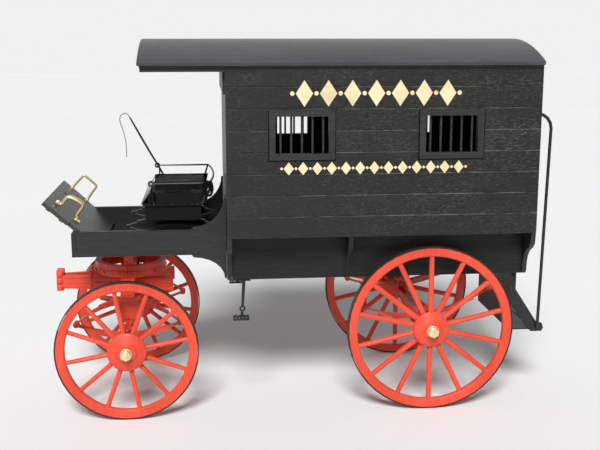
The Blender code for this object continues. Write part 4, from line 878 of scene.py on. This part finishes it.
def make_door_fittings():
    """Rivets on the strap hinges, staples over the bolt and a ring handle; all swing with the door."""
    low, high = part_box("rear_door")
    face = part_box("rear_wall")[1].x
    rivet = dome("rivet", (face + 0.9 * MM, 0, 0), BACK, 0.6, 0.4, 10)
    places = [shift(0, y * MM, z) for z in (low.z + 14.0 * MM, high.z - 10.0 * MM)
              for y in (-15, -7, 1, 9, 17, 23)]
    rivets = spread("rivets", rivet, places)
    bolt_z = (low.z + high.z) / 2
    staple = bent_wire("staple", [(face + u * MM, 0, bolt_z + v * MM) for u, v in STAPLE_BOW], 0.42 * MM)
    staples = spread("staples", staple, [shift(0, -22.5 * MM), shift(0, -16.5 * MM)])
    plate = soft_block("plate", (face - 0.1 * MM, -9.5 * MM, bolt_z - 4.0 * MM),
                       (face + 0.5 * MM, -4.5 * MM, bolt_z + 4.0 * MM), 0.2)
    neck = stud("neck", (face + 0.4 * MM, -7.0 * MM, bolt_z + 1.4 * MM), BACK,
                in_mm((0.0, 0.9), (0.5, 0.75), (1.0, 0.75), (1.2, 0.4)))
    ring = hoop("ring", (face + 1.05 * MM, -7.0 * MM, bolt_z - 0.9 * MM), BACK, 2.2 * MM, 0.35 * MM)
    finish(joined("door_irons", [rivets, staples, plate, neck, ring]), "rear_door", "black_iron")


def make_handrail_fittings():
    """Wall flanges for the handrails, each with three screws."""
    low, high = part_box("handrail_left")
    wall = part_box("rear_wall")[1].x
    centre = (wall, (low.y + high.y) / 2, high.z - 1.15 * MM)
    flange = stud("handrail_flange", centre, BACK,
                  in_mm((0.0, 2.7), (0.5, 2.7), (0.8, 2.3), (0.9, 1.7), (2.2, 1.5)), 20)
    screw = dome("screw", (wall + 0.6 * MM, centre[1], centre[2] - 2.1 * MM), BACK, 0.4, 0.35, 8)
    screws = spread("screws", screw, round_about(centre, "X", 3))
    both_sides("handrail_flange", joined("flange", [flange, screws]), "wagon", "black_iron")


# Steps


def make_driver_steps():
    """Forged mounting steps: stem with an eye in it, and a barred tread."""
    low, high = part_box("driver_step_left")
    x = low.x + 7.7 * MM
    y = -46.0 * MM
    tread_z = low.z + 1.4 * MM
    lean = 1.5 * MM
    foot = soft_block("foot", (x - 4.5 * MM, y - 1.3 * MM, high.z - 1.0 * MM),
                      (x + 4.5 * MM, high.y, high.z), 0.25)
    stem = start_block("stem", (x - 1.2 * MM, y - 1.0 * MM, STEM_FOOT),
                       (x + 1.2 * MM, y + 1.0 * MM, high.z - 0.5 * MM))
    pick_faces(stem, lambda centre, normal: normal.z < -0.9)
    bpy.ops.transform.resize(value=(0.72, 0.8, 1), center_override=(x, y, STEM_FOOT))
    bpy.ops.transform.translate(value=(-0.75 * lean, 0, 0))
    close_mesh()
    soft_edges(stem, 0.3)
    eye = hoop("eye", (x - 0.8 * lean, y, STEP_EYE), (0, 1, 0), 1.55 * MM, 0.62 * MM)
    lower_stem = soft_block("lower_stem", (x - lean - 0.9 * MM, y - 0.8 * MM, tread_z - 0.6 * MM),
                            (x - lean + 0.9 * MM, y + 0.8 * MM, LOWER_STEM_TOP), 0.3)
    x0, x1 = low.x, low.x + 10.8 * MM
    rims = [soft_block("rim", (x0, rim_y - 0.7 * MM, low.z), (x1, rim_y + 0.7 * MM, tread_z), 0.25)
            for rim_y in (low.y + 0.7 * MM, y + 0.3 * MM)]
    rung = soft_block("rung", (x0, low.y + 0.7 * MM, low.z + 0.1 * MM),
                      (x0 + 1.3 * MM, y + 0.3 * MM, tread_z - 0.1 * MM), 0.2)
    rungs = spread("rungs", rung, [shift(i * 2.375 * MM) for i in range(5)])
    rivet = dome("rivet", (x, y + 0.9 * MM, high.z - 1.0 * MM), DOWN, 0.55, 0.4, 10)
    rivets = spread("rivets", rivet, [shift(-3.2 * MM, 0.6 * MM), shift(3.2 * MM, 0.6 * MM)])
    step = joined("mounting_step", [foot, stem, eye, lower_stem, rungs, rivets] + rims)
    left, right = both_sides("mounting_step", step, "wagon", "black_iron")
    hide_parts("driver_step_left")
    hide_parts("driver_step_right")


def make_rear_step_fittings():
    """Iron nosing and screws on the rear step's tread, and bolts through its stringers."""
    low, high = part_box("rear_step")
    tread_z = low.z + 2.6 * MM
    tip = high.x
    nosing = start_block("step_nosing", (tip - 8.8 * MM, low.y + 2.7 * MM, tread_z + 0.02 * MM),
                         (tip - 1.6 * MM, high.y - 2.7 * MM, tread_z + 0.5 * MM))
    pick_faces(nosing, lambda centre, normal: normal.z > 0.9)
    bpy.ops.mesh.inset(thickness=0.7 * MM)
    bpy.ops.transform.translate(value=(0, 0, -0.22 * MM))
    close_mesh()
    soft_edges(nosing, 0.15)
    screw = dome("screw", (tip - 5.2 * MM, 0, tread_z + 0.3 * MM), UP, 0.6, 0.35, 10)
    screws = spread("screws", screw, [shift(0, i * 11.5 * MM) for i in range(-3, 4)])
    finish(joined("step_nosing", [nosing, screws]), "wagon", "black_iron")

    bolt = dome("bolt", (0, low.y, 0), LEFT, 0.9, 0.6)
    places = [shift(low.x + 1.8 * MM, 0, high.z - down * MM) for down in (3.0, 9.5)]
    places += [shift(tip - 3.6 * MM, 0, tread_z + 0.6 * MM), shift(tip - 8.0 * MM, 0, tread_z + 0.9 * MM)]
    both_sides("stringer_bolts", spread("stringer_bolts", bolt, places), "wagon", "black_iron")


# The driver's place


def make_pedal_and_loop():
    """Brake pedal with curled end and broad tread, and the rein loop on its feet, both on the toe board."""
    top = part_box("toe_board")
    slope = Matrix(((COS_TOE, 0, SIN_TOE, top[0].x + 2.7 * MM * SIN_TOE), (0, 1, 0, 0),
                    (-SIN_TOE, 0, COS_TOE, top[1].z), (0, 0, 0, 1)))
    low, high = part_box("brake_pedal")
    y = (low.y + high.y) / 2
    arm = bent_wire("arm", [(u * MM, 0, v * MM) for u, v, _ in PEDAL_BAR], [r * MM for _, _, r in PEDAL_BAR])
    arm.data.transform(Matrix.Translation((0, y, 0)) @ Matrix.Scale(PEDAL_BREADTH, 4, (0, 1, 0)))
    curl = stud("curl", (7.2 * MM, y - 2.1 * MM, 1.7 * MM), (0, 1, 0),
                in_mm((0.0, 0.8), (0.35, 1.4), (3.85, 1.4), (4.2, 0.8)), 16)
    foot = soft_block("foot", (22.4 * MM, y - 2.4 * MM, 0.1 * MM),
                      (27.2 * MM, y + 2.4 * MM, 1.3 * MM), 0.4)
    bolt = dome("bolt", (26.0 * MM, y, 1.2 * MM), UP, 0.8, 0.6)
    pedal = joined("pedal", [arm, curl, foot, bolt])
    pedal.data.transform(slope)
    finish(pedal, "wagon", "brass", angle=50)
    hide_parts("brake_pedal")

    low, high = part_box("rein_loop")
    y = (low.y + high.y) / 2
    loop = bent_wire("loop", [(u * MM, y, v * MM) for u, v in LOOP_WIRE], 0.8 * MM)
    flange = stud("flange", (8.1 * MM, y, 0.02 * MM), UP,
                  in_mm((0.0, 1.9), (0.5, 1.9), (0.8, 1.3), (1.9, 1.1)), 16)
    flanges = spread("flanges", flange, [shift(), shift(14.1 * MM)])
    loop = joined("rein_loop_wire", [loop, flanges])
    loop.data.transform(slope)
    finish(loop, "wagon", "brass", angle=50)
    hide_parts("rein_loop")


def make_seat_leather():
    """Glossy facing of the seat's leaning front, straps at the left rail, and near-black side cheeks on the
    cushion whose darkness is painted shade.
    """
    low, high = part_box("seat_cushion")
    facing = start_block("seat_facing", (low.x - 3.2 * MM, low.y + 1.5 * MM, low.z - 1.4 * MM),
                         (low.x - 2.6 * MM, high.y - 3.5 * MM, high.z - 1.8 * MM))
    pick_faces(facing, lambda centre, normal: normal.z > 0.9)
    bpy.ops.transform.translate(value=(5.4 * MM, 0, 0))
    close_mesh()
    soft_edges(facing, 0.2)
    finish(facing, "wagon", "leather", glossy_leather())

    low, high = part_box("seat_rail")
    front, back = low.x + 4.6 * MM, high.x - 8.0 * MM
    top, drop = high.z - 1.2 * MM, 5.4 * MM
    strap = start_block("rail_strap", (front, low.y + 0.35 * MM, top - drop), (back, low.y + 1.0 * MM, top))
    open_mesh()
    bpy.ops.mesh.subdivide(number_cuts=24)
    close_mesh()
    # The lower edge is ragged and the strap sways a little along the rail
    for vertex in strap.data.vertices:
        share = (vertex.co.x - front) / (back - front)
        down = (top - vertex.co.z) / drop
        ragged = 0.07 * math.sin(17.0 * share) + 0.05 * math.sin(41.0 * share + 1.0)
        vertex.co.z += down * ragged * drop
        vertex.co.y += down * 0.35 * MM * math.sin(23.0 * share)
    finish(face_outwards(strap), "wagon", "leather", angle=60)

    loops = []
    for nudge, fall in ((-0.9, 0.8), (0.9, -0.6)):
        line = ((-63.6, -46.2, 159.3), (-62.2, -47.0, 157.2), (-61.7, -47.3, 153.4),
                (-62.8, -47.4, 150.2 + fall), (-64.9, -47.3, 149.6 + fall), (-66.0, -47.0, 152.4),
                (-65.7, -46.7, 156.6), (-64.6, -46.3, 159.2))
        loops.append(bent_wire("loop", in_mm(*((x + nudge, y, z) for x, y, z in line)), 0.85 * MM))
    finish(joined("rein_strap", loops), "wagon", "leather", angle=60)

    low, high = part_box("seat_cushion")
    # Side boards over the cushion's sides, in near-black paint that is painted shade for the shadowed
    # cushion sides
    cheek = start_block("seat_shade_cheek", (low.x + 2.2 * MM, low.y - 1.0 * MM, low.z - 0.1 * MM),
                        (high.x - 1.0 * MM, low.y - 0.25 * MM, high.z - 0.6 * MM))
    pick_faces(cheek, lambda centre, normal: normal.x < -0.9)
    bpy.ops.mesh.bevel(offset=0.6 * MM, segments=3, affect="EDGES")
    pick_faces(cheek, lambda centre, normal: normal.z > 0.9)
    bpy.ops.transform.translate(value=(1.6 * MM, 0, 0))
    close_mesh()
    both_sides("seat_shade_cheek", cheek, "wagon", "black_wood", dull_shade_black())


def make_seat_fittings():
    """Strap lashed round the rail's front leg, clips of the seat springs and screws of the pan."""
    low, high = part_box("seat_rail")
    leg_x, leg_y = low.x + 2.95 * MM, low.y + 0.65 * MM
    turns, steps = 5, 12
    points = []
    for i in range(turns * steps + 1):
        angle = math.tau * i / steps
        climb = LASH_CLIMB * (i / (turns * steps))
        points.append((leg_x + 1.25 * MM * math.cos(angle), leg_y + 1.25 * MM * math.sin(angle),
                       (LASH_FOOT + climb) * MM))
    finish(bent_wire("rail_lashing", points, 0.6 * MM), "wagon", "leather", angle=60)

    low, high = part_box("seat_spring_left")
    x = (low.x + high.x) / 2
    clip = soft_block("clip", (x - 1.3 * MM, low.y - 0.5 * MM, low.z + 0.15 * MM),
                      (x + 1.3 * MM, high.y + 0.5 * MM, low.z + 2.2 * MM), 0.25)
    clips = spread("spring_clips", clip, [shift(), shift(0, 0, high.z - low.z - 2.35 * MM)])
    both_sides("spring_clips", clips, "wagon", "black_iron")

    low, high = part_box("seat_pan")
    screw = dome("screw", (0, low.y, high.z - 0.7 * MM), LEFT, 0.42, 0.3, 8)
    screws = spread("pan_screws", screw, [shift(low.x + (3.5 + 8.2 * i) * MM) for i in range(5)])
    both_sides("pan_screws", screws, "wagon", "black_iron")


def make_whip():
    """Whip: a stiff black stock that tapers into a thin pale wire end, bent over."""
    low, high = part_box("whip")
    front = high.x - 0.085 * WHIP_REACH - WHIP_NUDGE
    base = low.z + 0.225 * WHIP_REACH - WHIP_NUDGE
    y = (low.y + high.y) / 2

    def line(shape):
        return [(front - row[0] * WHIP_REACH, y, base + row[1] * WHIP_REACH) for row in shape]
    stock = bent_wire("whip_stock", line(WHIP_STOCK), [row[2] * MM for row in WHIP_STOCK])
    finish(stock, "wagon", "black_iron", angle=60)
    thinner = [(0.42 - 0.01 * i) * MM for i in range(len(WHIP_END))]
    tip = bent_wire("whip_end", line(WHIP_END), thinner)
    finish(tip, "wagon", "leather", pale_wire(), 60)
    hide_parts("whip")
    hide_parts("whip")


# Running gear


def make_hub_nuts():
    """A six-sided brass nut on a round washer in each hub, with the axle's end showing."""
    low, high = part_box("nut_front_left")
    depth, radius = high.y - low.y, (high.x - low.x) / 2
    washer = stud("washer", (0, 0, 0), LEFT, [(0.0, radius - 0.5 * MM), (0.2 * depth, radius - 0.5 * MM),
                                              (0.25 * depth, radius - 0.9 * MM)], 32)
    hexagon = stud("hexagon", (0, -0.2 * depth, 0), LEFT,
                   [(0.0, radius - 0.7 * MM), (0.62 * depth, radius - 0.7 * MM),
                    (0.73 * depth, radius - 1.3 * MM)], 6)
    soft_edges(hexagon, 0.18)
    axle_end = stud("axle_end", (0, -0.9 * depth, 0), LEFT,
                    [(0.0, 1.7 * MM), (0.07 * depth, 1.7 * MM), (0.1 * depth, 1.4 * MM)], 20)
    pattern = joined("hub_nut", [washer, hexagon, axle_end])
    for name in WHEEL_NAMES:
        low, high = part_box("nut_" + name)
        left = name.endswith("left")
        place = shift((low.x + high.x) / 2, high.y if left else low.y, (low.z + high.z) / 2)
        nut = copied(pattern, place if left else place @ FLIP)
        nut.name = "hub_nut_" + name
        finish(nut, "wheel_" + name, "brass")
        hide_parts("nut_" + name)
    bpy.data.objects.remove(pattern)


def make_pole_fittings():
    """Bosses of the pole's head, and the beads, clips and nuts of the beams behind it."""
    low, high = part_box("futchells")
    boss = stud("boss", (low.x + 2.3 * MM, -5.0 * MM, 0), LEFT,
                in_mm((0.0, 2.1), (0.7, 2.1), (1.2, 1.6), (1.4, 0.8)), 16)
    bosses = spread("pole_bosses", boss, [shift(0, 0, z * MM) for z in BOSS_HEIGHTS])
    both_sides("pole_bosses", bosses, "front_gear", "red_paint")

    start = Vector((low.x + 4.6 * MM, -4.9 * MM, 0))
    run = Vector((high.x - 1.0 * MM, low.y, 0)) - start
    bead = soft_block("bead", (0, -0.35 * MM, -0.45 * MM), (run.length, 0.25 * MM, 0.45 * MM), 0.2)
    lay = Matrix.Translation(start) @ Matrix.Rotation(math.atan2(run.y, run.x), 4, "Z")
    beads = spread("beam_beads", bead, [Matrix.Translation((0, 0, z * MM)) @ lay for z in BEAD_HEIGHTS])
    both_sides("beam_beads", beads, "front_gear", "red_paint")

    clip = soft_block("beam_clip", (low.x + 22.9 * MM, -9.3 * MM, low.z - 0.3 * MM),
                      (low.x + 25.3 * MM, -4.9 * MM, high.z + 0.3 * MM), 0.5, 3)
    nut = stud("clip_nut", (low.x + 24.1 * MM, -9.2 * MM, 0), LEFT,
               in_mm((0.0, 1.0), (0.6, 1.0), (0.75, 0.8)), 6)
    nuts = spread("clip_nuts", nut, [shift(0, 0, z * MM) for z in CLIP_NUT_HEIGHTS])
    both_sides("beam_clip", joined("beam_clip", [clip, nuts]), "front_gear", "red_paint")


def make_gear_fittings():
    """Bolts of the spring eyes, nuts of the turntable, and U-bolts over the springs."""
    for end, body in (("front", "front_gear"), ("rear", "wagon")):
        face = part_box(f"{end}_spring_left")[0].y + 0.05 * MM
        bolts = spread("eye_bolts", dome("eye_bolt", (0, face, 0), LEFT, 1.15, 0.8),
                       [shift(x, 0, z) for x, z in SPRING_EYES[end]])
        both_sides(f"eye_bolts_{end}", bolts, body, "red_paint")

    low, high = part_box("turntable_lower")
    middle, radius = (low.x + high.x) / 2, (high.x - low.x) / 2
    nut = stud("nut", (middle - radius + 0.15 * MM, 0, RING_NUT_HEIGHT * MM), AHEAD,
               in_mm((0.0, 1.1), (0.7, 1.1), (0.9, 0.8)), 6)
    nuts = spread("turntable_nuts", nut, round_about((middle, 0, 0), "Z", 12, 0.5))
    finish(nuts, "front_gear", "red_paint")

    reach = 2.8 * MM
    for end, body, inner, outer, rise in U_BOLTS:
        low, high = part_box(end + "_axle")
        x = (low.x + high.x) / 2
        under = low.z - 0.5 * MM
        over = low.z + rise * MM + 4.4 * MM
        half = ((-reach, over), (-reach, under + 1.0 * MM), (0.7 * MM - reach, under))
        line = half + tuple((-dx, z) for dx, z in reversed(half))
        loops = [bent_wire("u_bolt", [(x + dx, y * MM, z) for dx, z in line], 0.5 * MM)
                 for y in (-inner, -outer)]
        plate = soft_block("plate", (x - reach - 1.2 * MM, -(outer + 1.0) * MM, over - 2.0 * MM),
                           (x + reach + 1.2 * MM, -(inner - 1.0) * MM, over - 1.1 * MM), 0.25)
        nut = stud("nut", (x, 0, over - 1.1 * MM), UP, in_mm((0.0, 0.95), (0.7, 0.95), (0.85, 0.75)), 6)
        nuts = spread("nuts", nut, [shift(dx, -y * MM) for dx in (-reach, reach) for y in (inner, outer)])
        both_sides("u_bolts_" + end, joined("u_bolts", loops + [plate, nuts]), body, "red_paint")


make_camera()
make_studio()
finish_frame()
make_cushion()
make_side_fittings()
make_window_fittings()
make_door_fittings()
make_handrail_fittings()
make_driver_steps()
make_rear_step_fittings()
make_pedal_and_loop()
make_seat_leather()
make_seat_fittings()
make_pole_fittings()
make_gear_fittings()
make_hub_nuts()
make_whip()
